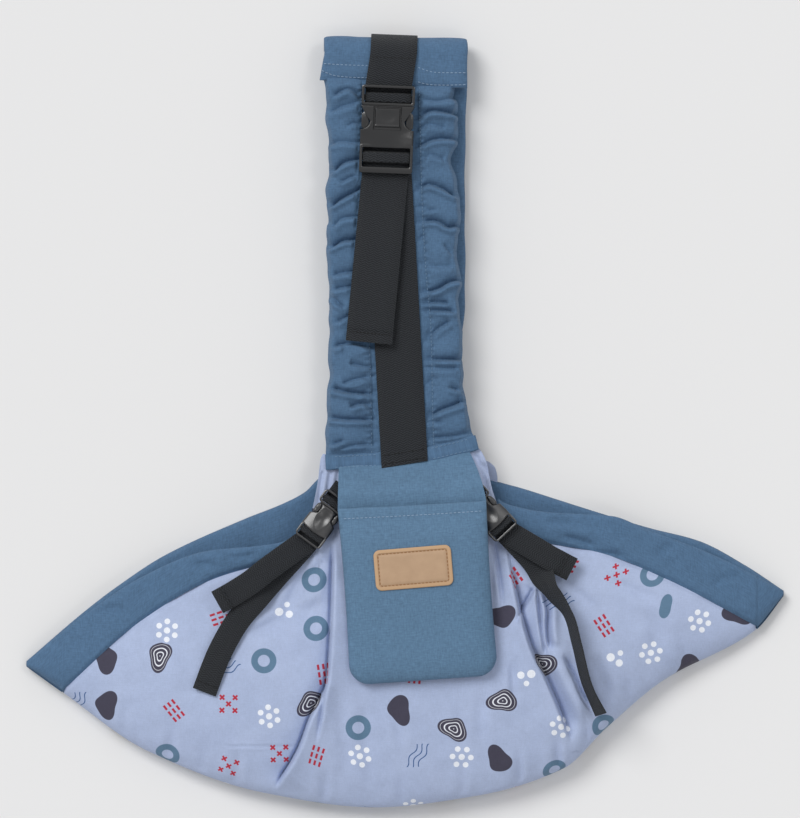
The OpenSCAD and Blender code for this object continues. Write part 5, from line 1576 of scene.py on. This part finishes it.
def small_top(x, y):
    """A dome, lower towards its sides and its mouth and rising a little towards the adjuster, with a leaf-shaped hollow
    along its middle.
    """
    t = -y
    doming = 7.1 + 0.045 * np.clip(t, 0, 19) - 3.2 * (np.abs(x) / 12.4) ** 1.8 - 0.5 * smooth_step(2, -2.8, t)
    leaf = np.clip(1 - ((x / 6.2) ** 2 + ((t - 6.4) / 10.4) ** 2), 0, 1)
    return doming - 2.2 * leaf ** 1.5


def thumb_pad(sign):
    """A sprung arm seen at the side of a buckle: an oval rod, ribbed and domed on top."""
    a = np.arange(36) * math.tau / 36
    steps = [(0.86, 1.6), (1.0, 2.0), (1.0, 3.6), (0.93, 4.3), (0.78, 4.8), (0.55, 5.1), (0.25, 5.25)]
    rings = np.array([
        xyz(
            sign * (8.7 + 2.5 * k * np.cos(a)), -2.3 + 5.2 * k * np.sin(a),
            z + 0.12 * np.sin(8 * k * np.sin(a)) * (z > 3.6),
        )
        for k, z in steps
    ])
    return tube(rings if sign > 0 else rings[:, ::-1])


for side, (seat, *_rest) in SIDES.items():
    parts = [
        plate(small_half, -SMALL["body"], SMALL_MOUTH, small_top, 1.5, 80, 110, (-10.0, 0.88, 0.4), 1.2),
        base_plate(small_half, -SMALL["body"], SMALL_MOUTH, 1.3, 50), *adjuster(SMALL, -SMALL["body"], -1, 2.0),
    ]
    make_buckle(f"{side}_female_shell", parts, GLOSS, seat, f"{side}_female", f"{side}_buckle_female")
    parts = [
        block(5.0, -8.5, 3.4, 1.7, 3.5, 0.6), block(19.0, 2.2, 3.6, 1.6, 3.6),
        *adjuster({**SMALL, "th": 6.6}, SMALL_BASE, 1, SMALL_BASE - SMALL_MOUTH - 0.2),
    ]
    make_buckle(f"{side}_male_frame", parts, GLOSS, seat, "root", f"{side}_buckle_male")
    for sign in (-1, 1):
        node = f"{side}_arm_" + ("upper" if (sign < 0) == (side == "left") else "lower")
        make_buckle(f"{node}_pad", [thumb_pad(sign)], GLOSS, seat, node[:-4], node)

for (kind, body), parts in sorted(STITCHES.items()):
    points, faces = join(parts)
    sewn = add_mesh(f"{kind}_{body}", points, faces, THREADS[kind])
    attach(sewn, body)

# Stage: a pale floor, soft light from above and behind, a long lens straight down
FLOOR_HALF = 9000.0
floor_points = [(x * FLOOR_HALF, y * FLOOR_HALF, -0.3) for x, y in ((-1, -1), (1, -1), (1, 1), (-1, 1))]
floor_grey = plain_material("floor_grey", srgb(228, 228, 228), 0.9)
floor = add_mesh("floor", floor_points, [[(0, 1, 2, 3)]], floor_grey)
floor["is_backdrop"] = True
scene = bpy.context.scene
scene.world = bpy.data.worlds.new("studio")
scene.world.use_nodes = True
background = scene.world.node_tree.nodes["Background"]
background.inputs[0].default_value = srgb(237, 237, 238)
background.inputs[1].default_value = 0.64


def sun(name, away, power, spread):
    """A distant light that shines from a direction, softened by its angle in degrees."""
    data = bpy.data.lights.new(name, "SUN")
    data.energy, data.angle = power, math.radians(spread)
    obj = link(name, data)
    obj.rotation_mode = "QUATERNION"
    obj.rotation_quaternion = (-Vector(away)).to_track_quat("-Z", "Y")


sun("key", (-0.55, 0.62, 0.95), 1.62, 28)
sun("fill", (0.55, 0.35, 1.0), 0.27, 13)
sun("glint", (0.42, -0.5, 1.0), 0.1, 8)

# The lens takes in a square of this width, a little above the floor
CAMERA_H, SUBJECT_Z, VIEW_W, SENSOR_W = 4.0, 0.03, 0.6683, 36
scene.camera = link("camera", bpy.data.cameras.new("camera"))
scene.camera.location = (-0.0041, 0.0106, CAMERA_H)
lens = scene.camera.data
lens.sensor_width = SENSOR_W
lens.lens = SENSOR_W * (CAMERA_H - SUBJECT_Z) / VIEW_W
lens.clip_end = 100
scene.view_settings.view_transform = "Standard"

low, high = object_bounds()
{"cad": [list(CAD_LOW), list(CAD_HIGH)], "visual": [list(low), list(high)]}
